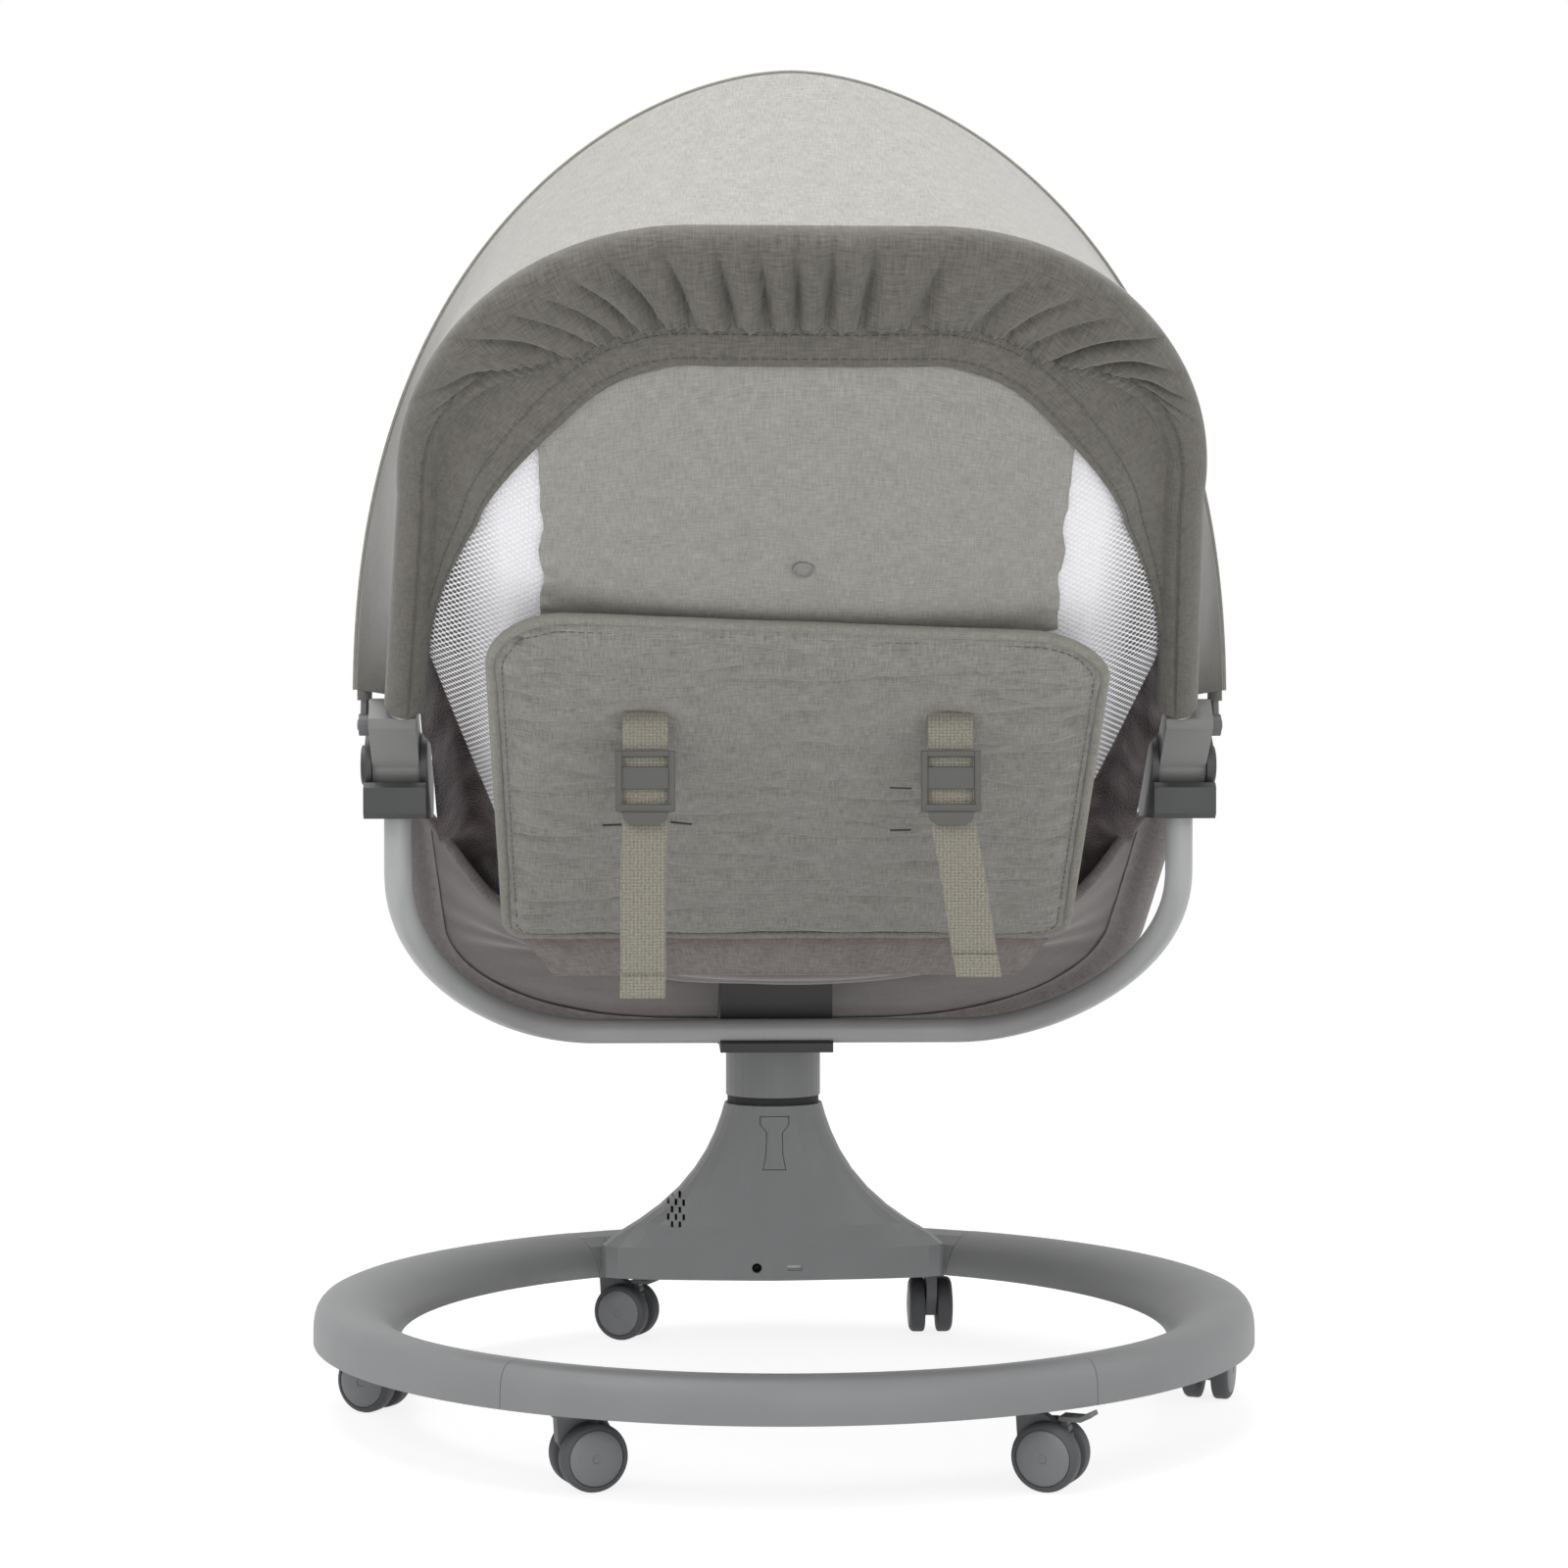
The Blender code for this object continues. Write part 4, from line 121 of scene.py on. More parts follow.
def hoopOutline(start):
    # powers of 1 would give an ellipse; the hoop's own give it straighter shoulders
    steps = 200
    low = math.asin((start / hoop["height"]) ** (1 / hoop["risePower"]))
    outline = []
    for k in range(steps + 1):
        angle = low + (math.pi - 2 * low) * k / steps
        across = hoop["half"] * abs(math.cos(angle)) ** hoop["sidePower"]
        outline.append((math.copysign(across, math.cos(angle)),
                        hoop["height"] * math.sin(angle) ** hoop["risePower"]))
    return outline


def spread(line, count):
    # even spacing along a polyline of any dimension
    line = np.asarray(line, float)
    lengths = np.concatenate(([0], np.cumsum(np.linalg.norm(np.diff(line, axis=0), axis=1))))
    wanted = np.linspace(0, lengths[-1], count)
    return np.stack([np.interp(wanted, lengths, values) for values in line.T], axis=1)


def rounded(line, passes):
    # softens the corners of a dense polyline and keeps its ends
    for _ in range(passes):
        line[1:-1] = (line[:-2] + 2 * line[1:-1] + line[2:]) / 4
    return line


def outward(outline):
    ahead = np.gradient(np.asarray(outline, float), axis=0)
    size = np.linalg.norm(ahead, axis=1, keepdims=True)
    return np.stack((ahead[:, 1], -ahead[:, 0]), axis=1) / size


# Mesh makers.
def linked(name, data):
    thing = bpy.data.objects.new(name, data)
    bpy.context.scene.collection.objects.link(thing)
    return thing


def bake(piece):
    # keeps what the modifiers made of the piece
    graph = bpy.context.evaluated_depsgraph_get()
    piece.data = bpy.data.meshes.new_from_object(piece.evaluated_get(graph))
    piece.modifiers.clear()


def fit(piece, body, slot, *stands):
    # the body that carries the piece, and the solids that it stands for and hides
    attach(piece, body)
    if stands:
        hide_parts(*stands)
    return piece


def setUv(mesh, flat):
    # flat holds a place for each vertex, in metres of cloth
    layer = mesh.uv_layers.get("cloth") or mesh.uv_layers.new(name="cloth")
    corners = [corner.vertex_index for corner in mesh.loops]
    layer.data.foreach_set("uv", flat[corners].astype(np.float32).ravel())


def addMesh(name, verts, faces, material, uvs=None, sharp=None):
    mesh = bpy.data.meshes.new(name)
    mesh.from_pydata([tuple(v) for v in verts], [], faces)
    mesh.shade_smooth()
    if sharp is not None:
        mesh.set_sharp_from_angle(angle=math.radians(sharp))
    if uvs is not None:
        setUv(mesh, uvs)
    mesh.materials.append(material)
    return linked(name, mesh)


def fromBmesh(name, bm, material):
    mesh = bpy.data.meshes.new(name)
    bm.to_mesh(mesh)
    bm.free()
    mesh.materials.append(material)
    mesh.shade_smooth()
    return linked(name, mesh)


def gridFaces(rows, columns, wrap=False):
    faces = []
    for i in range(rows - 1):
        for j in range(columns if wrap else columns - 1):
            k = (j + 1) % columns
            faces.append((i * columns + j, i * columns + k, (i + 1) * columns + k, (i + 1) * columns + j))
    return faces


def gridOf(rows, columns, place):
    # place gives the point at a share of the rows and a share of the columns, both from 0 to 1
    down, over = np.linspace(0, 1, rows), np.linspace(0, 1, columns)
    return np.array([[place(i, j) for j in over] for i in down])


def closedFaces(rings, size):
    # the faces between rings of points, with a cap at each end
    last = (rings - 1) * size
    return gridFaces(rings, size, True) + [tuple(range(size))[::-1], tuple(range(last, last + size))]


def gridUv(grid):
    # cloth lengths in metres along rows and columns, so that threads keep their real size
    down = np.linalg.norm(np.diff(grid, axis=0), axis=2).mean(axis=1)
    along = np.linalg.norm(np.diff(grid, axis=1), axis=2).mean(axis=0)
    v = np.concatenate(([0], np.cumsum(down)))
    u = np.concatenate(([0], np.cumsum(along)))
    return np.stack(np.meshgrid(u, v), axis=2).reshape(-1, 2)


def points(piece):
    return np.array([tuple(v.co) for v in piece.data.vertices])


def moveTo(piece, places):
    for vertex, place in zip(piece.data.vertices, places):
        vertex.co = place


def gridNormals(grid):
    normals = np.cross(np.gradient(grid, axis=0), np.gradient(grid, axis=1))
    return normals / np.maximum(np.linalg.norm(normals, axis=2, keepdims=True), 1e-12)


def gridPiece(name, grid, material, thickness=0.0):
    thing = addMesh(name, grid.reshape(-1, 3), gridFaces(*grid.shape[:2]), material, gridUv(grid))
    if thickness:
        shell = thing.modifiers.new("thickness", "SOLIDIFY")
        shell.thickness = thickness
        shell.offset = 0
    return thing


def tubePiece(name, path, radius, material, sides=20):
    # a round bar along a path
    path = np.asarray(path, float)
    ahead = np.gradient(path, axis=0)
    ahead /= np.linalg.norm(ahead, axis=1, keepdims=True)
    side = np.cross(ahead[0], (0.3, 0.2, 1.0))
    angles = np.linspace(0, 2 * math.pi, sides, endpoint=False)[:, None]
    rings = []
    for place, direction in zip(path, ahead):
        side = side - direction * np.dot(side, direction)
        side /= np.linalg.norm(side)
        up = np.cross(direction, side)
        rings.append(place + radius * (np.cos(angles) * side + np.sin(angles) * up))
    grid = np.array(rings)
    return addMesh(name, grid.reshape(-1, 3), closedFaces(len(path), sides), material, gridUv(grid), 50)


def spun(name, profile, place, axis, material):
    # turns a profile of radius and height about an axis
    count, sharp = 48, 35
    turn = Vector(axis).to_track_quat("Z", "Y")
    verts = []
    for k in range(count):
        angle = 2 * math.pi * k / count
        for radius, height in profile:
            spot = turn @ Vector((radius * math.cos(angle), radius * math.sin(angle), height))
            verts.append(Vector(place) + spot)
    size = len(profile)
    faces = []
    for k in range(count):
        here, there = k * size, (k + 1) % count * size
        faces += [(here + i, there + i, there + i + 1, here + i + 1) for i in range(size - 1)]
    thing = addMesh(name, verts, faces, material, None, sharp)
    bm = bmesh.new()
    bm.from_mesh(thing.data)
    bmesh.ops.remove_doubles(bm, verts=bm.verts, dist=0.00001)
    bmesh.ops.recalc_face_normals(bm, faces=bm.faces)
    bm.to_mesh(thing.data)
    bm.free()
    return thing


def stitches(name, path, lift, length=3.4 * mm, gap=1.6 * mm):
    # a row of short threads just proud of the cloth; lift is the way out of it
    radius = 0.32 * mm
    lift = np.tile(np.asarray(lift, float), (len(path), 1))
    total = np.linalg.norm(np.diff(path, axis=0), axis=1).sum()
    count = max(2, int(total / (length + gap)))
    dense = spread(np.hstack((path, lift)), count * 4 + 1)
    verts, faces = [], []
    for k in range(count):
        a, b = dense[4 * k], dense[4 * k + 3]
        ahead = b[:3] - a[:3]
        ahead /= np.linalg.norm(ahead)
        out = a[3:] / max(np.linalg.norm(a[3:]), 1e-9)
        side = np.cross(ahead, out)
        base = len(verts)
        # each thread dips in at its ends
        for share, size in ((0.0, 0.35), (0.2, 1.0), (0.8, 1.0), (1.0, 0.35)):
            centre = a[:3] + (b[:3] - a[:3]) * share + out * radius * 0.6 * math.sin(math.pi * share)
            for turn in range(5):
                angle = 2 * math.pi * turn / 5
                verts.append(centre + radius * size * (math.cos(angle) * side + math.sin(angle) * out))
        for ring in range(3):
            for turn in range(5):
                here, there = base + ring * 5 + turn, base + ring * 5 + (turn + 1) % 5
                faces.append((here, there, there + 5, here + 5))
    return addMesh(name, verts, faces, sewingThread)


# Finishes, each for what the real piece is made of.
def hexColour(code):
    values = [int(code[k:k + 2], 16) / 255 for k in (0, 2, 4)]
    return (*[v / 12.92 if v <= 0.04045 else ((v + 0.055) / 1.055) ** 2.4 for v in values], 1.0)


def setInputs(tree, node, links):
    # a node given as an input stands for its first output
    for key, value in links.items():
        if isinstance(value, bpy.types.Node):
            value = value.outputs[0]
        if isinstance(value, bpy.types.NodeSocket):
            tree.links.new(value, node.inputs[key])
        else:
            node.inputs[key].default_value = value


def addNode(tree, kind, links=None, **settings):
    node = tree.nodes.new("ShaderNode" + kind)
    for key, value in settings.items():
        setattr(node, key, value)
    setInputs(tree, node, links or {})
    return node


def newMaterial(name, **values):
    material = bpy.data.materials.new(name)
    material.use_nodes = True
    tree = material.node_tree
    shader = tree.nodes["Principled BSDF"]
    setInputs(tree, shader, {key.replace("_", " "): value for key, value in values.items()})
    return material, tree, shader


def plastic(name, colour, roughness, grain=0.5, depth=0.10):
    # ABS or nylon from a spark-eroded mould: fine even grain, soft highlight, faint mottling
    material, tree, shader = newMaterial(name, Roughness=roughness, IOR=1.53)
    place = addNode(tree, "TexCoord").outputs["Object"]
    cloud = addNode(tree, "TexNoise", {"Vector": place, "Scale": 1 / (60 * mm), "Detail": 3.0})
    mottle = addNode(tree, "ValToRGB", {"Fac": cloud})
    for stop, spot, share in zip(mottle.color_ramp.elements, (0.3, 0.75), (0.955, 1.035)):
        stop.position = spot
        stop.color = (*[min(1.0, v * share) for v in hexColour(colour)[:3]], 1)
    # the mould's grain is about 0.1 mm; it is drawn coarser so that it shows
    pits = addNode(tree, "TexNoise", {"Vector": place, "Scale": 1 / (grain * mm), "Detail": 2.0})
    rough = addNode(tree, "MapRange", {"Value": pits, "To Min": roughness - 0.06,
                                       "To Max": roughness + 0.07})
    bump = addNode(tree, "Bump", {"Height": pits, "Strength": depth, "Distance": 0.2 * mm})
    setInputs(tree, shader, {"Base Color": mottle, "Roughness": rough, "Normal": bump})
    return material


def cloth(name, dark, light, thread=0.9, sheen=0.25, depth=0.35, contrast=1.0):
    # melange polyester canvas: two shades of yarn cross, so the eye sees fine streaks each way
    material, tree, shader = newMaterial(name, Roughness=0.92, Sheen_Weight=sheen, Sheen_Roughness=0.5,
                                         Specular_IOR_Level=0.25)
    place = addNode(tree, "UVMap", uv_map="cloth")
    # yarns are about 0.4 mm apart; they are drawn at the thread size given, so that they show
    pitch = 1 / (thread * mm)
    streaks = []
    for scale in ((pitch, pitch / 9, 1.0), (pitch / 9, pitch, 1.0)):
        run = addNode(tree, "Mapping", {"Vector": place, "Scale": scale})
        streaks.append(addNode(tree, "TexNoise", {"Vector": run, "Scale": 1.0, "Detail": 2.0,
                                                  "Roughness": 0.6}))
    weave = addNode(tree, "Math", {0: streaks[0], 1: streaks[1]}, operation="ADD")
    blot = addNode(tree, "TexNoise", {"Vector": place, "Scale": 1 / (14 * mm), "Detail": 3.0})
    mixed = addNode(tree, "Math", {0: blot, 1: 0.35, 2: weave}, operation="MULTIPLY_ADD")
    # the mixed tones spread to both sides of this middle
    middle, span = 1.175, 0.38 / contrast
    tone = addNode(tree, "MapRange", {"Value": mixed, "From Min": middle - span, "From Max": middle + span})
    ramp = addNode(tree, "ValToRGB", {"Fac": tone})
    for stop, code in zip(ramp.color_ramp.elements, (dark, light)):
        stop.color = hexColour(code)
    bump = addNode(tree, "Bump", {"Height": weave, "Strength": depth, "Distance": 0.3 * mm})
    setInputs(tree, shader, {"Base Color": ramp, "Normal": bump})
    return material


def netting(name):
    # warp-knitted polyester net: white yarn round open six-sided holes
    material, tree, shader = newMaterial(name, Roughness=0.8, Sheen_Weight=0.2)
    place = addNode(tree, "UVMap", uv_map="cloth")
    # holes every 4.2 mm across and in staggered rows
    hole = 4.2 * mm
    rows = addNode(tree, "Mapping", {"Vector": place, "Scale": (1 / hole, 1 / hole, 1.0)})
    between = addNode(tree, "VectorMath", {0: rows, 1: (0.5, 0.5, 0.0)}, operation="ADD")
    cells = [addNode(tree, "TexVoronoi", {"Vector": spot, "Scale": 1.0, "Randomness": 0.0}, feature="F1")
             for spot in (rows, between)]
    nearest = addNode(tree, "Math", {0: cells[0], 1: cells[1]}, operation="MINIMUM")
    # the dark lining behind shows through the holes at the sides, daylight through those further in
    spot = addNode(tree, "SeparateXYZ", {"Vector": addNode(tree, "TexCoord").outputs["Object"]})
    across = addNode(tree, "Math", {0: spot}, operation="ABSOLUTE")
    shade = addNode(tree, "MapRange", {"Value": across, "From Min": 160 * mm, "From Max": 186 * mm})
    behind = addNode(tree, "Mix", {"Factor": shade, 6: hexColour("e8e7ec"), 7: hexColour("474446")},
                     data_type="RGBA")
    yarnShare = addNode(tree, "MapRange", {"Value": nearest, "From Min": 0.25, "From Max": 0.33})
    # the yarn's white is its own, and is painted brighter still as the light coming through the thin net
    yarn = addNode(tree, "Mix", {"Factor": yarnShare, 6: behind.outputs[2], 7: hexColour("f6f6f8")},
                   data_type="RGBA")
    bump = addNode(tree, "Bump", {"Height": yarnShare, "Strength": 0.6, "Distance": 0.6 * mm})
    setInputs(tree, shader, {"Base Color": yarn.outputs[2], "Normal": bump})
    return material


def webbing(name):
    # woven polyester webbing: cross ribs with lighter yarns standing up in rows
    material, tree, shader = newMaterial(name, Roughness=0.85, Sheen_Weight=0.15, Specular_IOR_Level=0.3)
    place = addNode(tree, "UVMap", uv_map="cloth")
    # ribs every 1.7 mm along, yarn rows every 2.1 mm across
    period = 0.314  # a wave of scale 1 comes back at this length
    waves = []
    for way, pitch, waver in (("Y", 1.7 * mm, 0.4), ("X", 2.1 * mm, 0.3)):
        wave = addNode(tree, "TexWave", {"Vector": place, "Scale": period / pitch, "Distortion": waver,
                                         "Detail": 1.0}, bands_direction=way)
        waves.append(wave.outputs["Fac"])
    both = addNode(tree, "Math", {0: waves[0], 1: waves[1]}, operation="MULTIPLY")
    speck = addNode(tree, "TexNoise", {"Vector": place, "Scale": 1 / (1.4 * mm), "Detail": 2.0})
    mixed = addNode(tree, "Math", {0: both, 1: 0.5, 2: speck}, operation="MULTIPLY_ADD")
    ramp = addNode(tree, "ValToRGB", {"Fac": mixed})
    for stop, spot, code in zip(ramp.color_ramp.elements, (0.3, 0.95), ("716e64", "9b988b")):
        stop.position, stop.color = spot, hexColour(code)
    bump = addNode(tree, "Bump", {"Height": both, "Strength": 0.6, "Distance": 0.5 * mm})
    setInputs(tree, shader, {"Base Color": ramp, "Normal": bump})
    return material


def plush(name, dark, light):
    # short-pile embossed plush: pebbles pressed into soft pile, painted lighter on their tops and darker in
    # the grooves between them, as light and shade
    material, tree, shader = newMaterial(name, Roughness=0.95, Sheen_Weight=0.5, Sheen_Roughness=0.4,
                                         Specular_IOR_Level=0.2)
    place = addNode(tree, "TexCoord").outputs["Object"]
    # pebbles about 16 mm across; the pile is far finer than the 1.6 mm at which it is drawn to show
    pebbles = addNode(tree, "TexVoronoi", {"Vector": place, "Scale": 1 / (16 * mm)}, feature="SMOOTH_F1")
    pile = addNode(tree, "TexNoise", {"Vector": place, "Scale": 1 / (1.6 * mm), "Detail": 3.0})
    height = addNode(tree, "Math", {0: pebbles, 1: -1.6, 2: pile}, operation="MULTIPLY_ADD")
    # painted light and shade: pale on the pebbles' tops, dark in the grooves between them
    ramp = addNode(tree, "ValToRGB", {"Fac": pebbles})
    for stop, spot, code in zip(ramp.color_ramp.elements, (0.1, 0.7), (light, dark)):
        stop.position, stop.color = spot, hexColour(code)
    bump = addNode(tree, "Bump", {"Height": height, "Strength": 0.8, "Distance": 1.6 * mm})
    setInputs(tree, shader, {"Base Color": ramp, "Normal": bump})
    return material


def metal(name, colour, roughness, grit):
    # bare metal with fine turning marks: bright, with a slightly smeared highlight
    material, tree, shader = newMaterial(name, Base_Color=hexColour(colour), Metallic=1.0,
                                         Roughness=roughness)
    place = addNode(tree, "TexCoord").outputs["Object"]
    marks = addNode(tree, "TexNoise", {"Vector": place, "Scale": 1 / (grit * mm), "Detail": 3.0})
    rough = addNode(tree, "MapRange", {"Value": marks, "To Min": roughness - 0.08,
                                       "To Max": roughness + 0.1})
    setInputs(tree, shader, {"Roughness": rough})
    return material


mouldedShell = plastic("mouldedAbsShell", "7e7f80", 0.46)
mouldedKnuckle = plastic("mouldedNylonKnuckle", "787877", 0.42)
mouldedHousing = plastic("mouldedNylonHousing", "393a3a", 0.45)
mouldedBracket = plastic("glassFilledNylonBracket", "323233", 0.5)
mouldedCaster = plastic("mouldedNylonCaster", "5f6062", 0.48)
mouldedDisc = plastic("mouldedCasterDisc", "747577", 0.46)
mouldedBuckle = plastic("acetalBuckle", "4e4f4b", 0.45)
snapPlastic = plastic("acetalSnap", "7d7d7a", 0.25)
panelGloss = plastic("polishedPanelPlastic", "1a1b1d", 0.12, 2.0, 0.01)
blackRubber = plastic("mouldedBlackRubber", "1f1f20", 0.7, 0.8, 0.25)
treadRubber = plastic("mouldedTreadRubber", "4c4d50", 0.66, 0.8, 0.25)
paintedTube = plastic("powderCoatedTube", "a6a7a7", 0.36, 0.7, 0.16)
circuitResin = plastic("printedCircuitResin", "2c5a3c", 0.45, 1.5, 0.1)
machinedSteel = metal("machinedSteel", "b5b6b8", 0.35, 0.6)
copperWire = metal("enamelledCopperWire", "b06a3a", 0.4, 0.5)
melangeCanvas = cloth("melangePolyesterCanvas", "6c6a65", "979590")
# the same melange canvas painted lighter, as painted light coming through the thin centre panel
paintedLightPanelCanvas = cloth("thinMelangeCanvasPaintedLight", "7a7873", "a7a59f", contrast=0.75)
# the same melange canvas painted darker, as painted shade in the canopy skirt's folds and on the binding
# under it
paintedShadeCanvas = cloth("melangeCanvasPaintedShade", "514f49", "74716b", depth=0.5)
# the same melange canvas painted lighter, as painted daylight coming through the canopy's thin crown
paintedLightCanopyCanvas = cloth("melangeCanopyCanvasPaintedLight", "7d7b76", "a8a6a1", 0.9, 0.3)
taupeCanvas = cloth("taupePolyesterCanvas", "635e5c", "8b8583", 0.9, 0.2)
liningTwill = cloth("brushedPolyesterLining", "453d3c", "6b605f", 0.8, 0.4)
pipingCloth = cloth("bindingTape", "6f6e67", "95948c", 0.7, 0.2)
whiteNetting = netting("warpKnittedNetting")


def paintSkyLightAndShade(material, low, high):
    # painted light and shade: thin cloth keeps its pale tone where it faces the sky, as daylight coming
    # through from above, and is painted darker where it stands upright, as shade
    tree = material.node_tree
    shader = tree.nodes["Principled BSDF"]
    base = shader.inputs["Base Color"].links[0].from_socket
    up = addNode(tree, "SeparateXYZ", {"Vector": addNode(tree, "TexCoord").outputs["Normal"]})
    share = addNode(tree, "MapRange", {"Value": up.outputs["Z"], "From Min": low, "From Max": high},
                    interpolation_type="SMOOTHSTEP")
    # painted shade: the cloth's tone darkened by this grey where it stands upright
    deep = addNode(tree, "Mix", {"Factor": 1.0, 6: base, 7: hexColour("a2a1a0")}, data_type="RGBA",
                   blend_type="MULTIPLY")
    both = addNode(tree, "Mix", {"Factor": share, 6: deep.outputs[2], 7: base}, data_type="RGBA")
    setInputs(tree, shader, {"Base Color": both.outputs[2]})


# the canopy's crown cloth is painted paler on top and darker on its upright sides
paintSkyLightAndShade(paintedLightCanopyCanvas, 0.3, 0.72)
ribbedWebbing = webbing("polyesterWebbing")
embossedPlush = plush("embossedPlush", "8f8890", "bdb6bf")
quiltedLining = plush("quiltedLining", "403738", "766b6c")
sewingThread = plastic("polyesterThread", "5d5c56", 0.75, 0.4, 0.3)

nodeFinish = {
    "pedestal_housing": mouldedShell, "release_latch": mouldedShell, "swing_collar": mouldedShell,
    "pedestal_bottom_cover": mouldedBracket, "seat_bracket": mouldedBracket, "magnet_arm": mouldedBracket,
    "control_panel": panelGloss, "joint_housing_left": mouldedHousing, "joint_housing_right": mouldedHousing,
    "recline_knuckle_left": mouldedKnuckle, "recline_knuckle_right": mouldedKnuckle,
    "recline_button_left": mouldedHousing, "recline_button_right": mouldedHousing,
    "canopy_hoop": mouldedCaster, "collar_seal": blackRubber, "speaker": blackRubber, "dc_jack": blackRubber,
    "usb_port": machinedSteel, "swing_shaft": machinedSteel, "upper_bearing": machinedSteel,
    "lower_bearing": machinedSteel, "drive_coil": copperWire, "circuit_board": circuitResin,
}
for name, piece in nodes.items():
    finish = mouldedCaster if name.startswith("caster_") else nodeFinish.get(name)
    if finish:
        piece.data.materials.clear()
        piece.data.materials.append(finish)
print("finishes made")

# Hard parts with the radii of their moulds: node, radius in mm, body and slot.
easedEdges = {
    "joint_housing_left": (2.2, "swing", "joint_plastic"),
    "joint_housing_right": (2.2, "swing", "joint_plastic"),
    "recline_knuckle_left": (2.0, "back", "knuckle_plastic"),
    "recline_knuckle_right": (2.0, "back", "knuckle_plastic"),
    "recline_button_left": (1.0, "button_left", "joint_plastic"),
    "recline_button_right": (1.0, "button_right", "joint_plastic"),
    "seat_bracket": (1.5, "swing", "dark_plastic"), "release_latch": (0.6, "latch", "shell_plastic"),
}


def eased(node, width):
    # the part's own form with a moulded radius along its sharp edges
    bm = bmesh.new()
    bm.from_mesh(nodes[node].data)
    bmesh.ops.remove_doubles(bm, verts=bm.verts, dist=0.01 * mm)
    bmesh.ops.dissolve_limit(bm, angle_limit=math.radians(1), verts=bm.verts, edges=bm.edges)
    weight = bm.edges.layers.float.new("bevel_weight_edge")
    for edge in bm.edges:
        outer = len(edge.link_faces) == 2 and edge.is_convex and edge.calc_face_angle() > math.radians(38)
        edge[weight] = 1.0 if outer else 0.0
    thing = fromBmesh("eased" + node.title().replace("_", ""), bm, nodeFinish[node])
    bevel = thing.modifiers.new("radius", "BEVEL")
    bevel.width = width * mm
    bevel.segments = 3
    bevel.limit_method = "WEIGHT"
    bevel.harden_normals = False
    bake(thing)
    thing.data.set_sharp_from_angle(angle=math.radians(32))
    return thing


for node, (width, body, slot) in easedEdges.items():
    fit(eased(node, width), body, slot, node)

# Base ring in its three segments.
ring = {
    "outer": 287.5 * mm, "width": 52.5 * mm, "height": 25 * mm, "wall": 3 * mm, "bottom": 46 * mm,
    "rearSeam": 34.5, "frontSeam": 150.0, "seamGap": 0.35 * mm, "steps": 1.25,
    "section": ((1.0, 0.0), (1.0, 0.12), (1.0, 0.30), (0.997, 0.46), (0.985, 0.62), (0.967, 0.75),
                (0.94, 0.85), (0.905, 0.93), (0.86, 0.97), (0.79, 1.0), (0.72, 1.0), (0.61, 0.975),
                (0.50, 0.93), (0.39, 0.85), (0.28, 0.74), (0.19, 0.61), (0.12, 0.46), (0.06, 0.32),
                (0.02, 0.16), (0.0, 0.0)),
}


def ringLine(inset):
    inner = ring["outer"] - ring["width"] + inset
    return [(inner + (ring["width"] - 2 * inset) * f, ring["bottom"] + (ring["height"] - inset) * g)
            for f, g in ring["section"]]


def ringPiece(name, fromDeg, toDeg, node):
    gap = math.degrees(ring["seamGap"] / (ring["outer"] - ring["width"] / 2)) / 2
    section = ringLine(0) + ringLine(ring["wall"])[::-1]
    count = int((toDeg - fromDeg) / ring["steps"])
    grid = []
    for k in range(count + 1):
        angle = math.radians(fromDeg + gap + (toDeg - fromDeg - 2 * gap) * k / count)
        grid.append([(r * math.sin(angle), ringCentreY + r * math.cos(angle), z) for r, z in section])
    faces = closedFaces(count + 1, len(section))
    thing = addMesh(name, np.array(grid).reshape(-1, 3), faces, mouldedShell, None, 45)
    fit(thing, "base", "shell_plastic", node)


ringPiece("ringLeft", ring["rearSeam"], ring["frontSeam"], "base_ring_left")
ringPiece("ringRear", -ring["rearSeam"], ring["rearSeam"], "base_ring_rear")
ringPiece("ringRight", 360 - ring["frontSeam"], 360 - ring["rearSeam"], "base_ring_right")

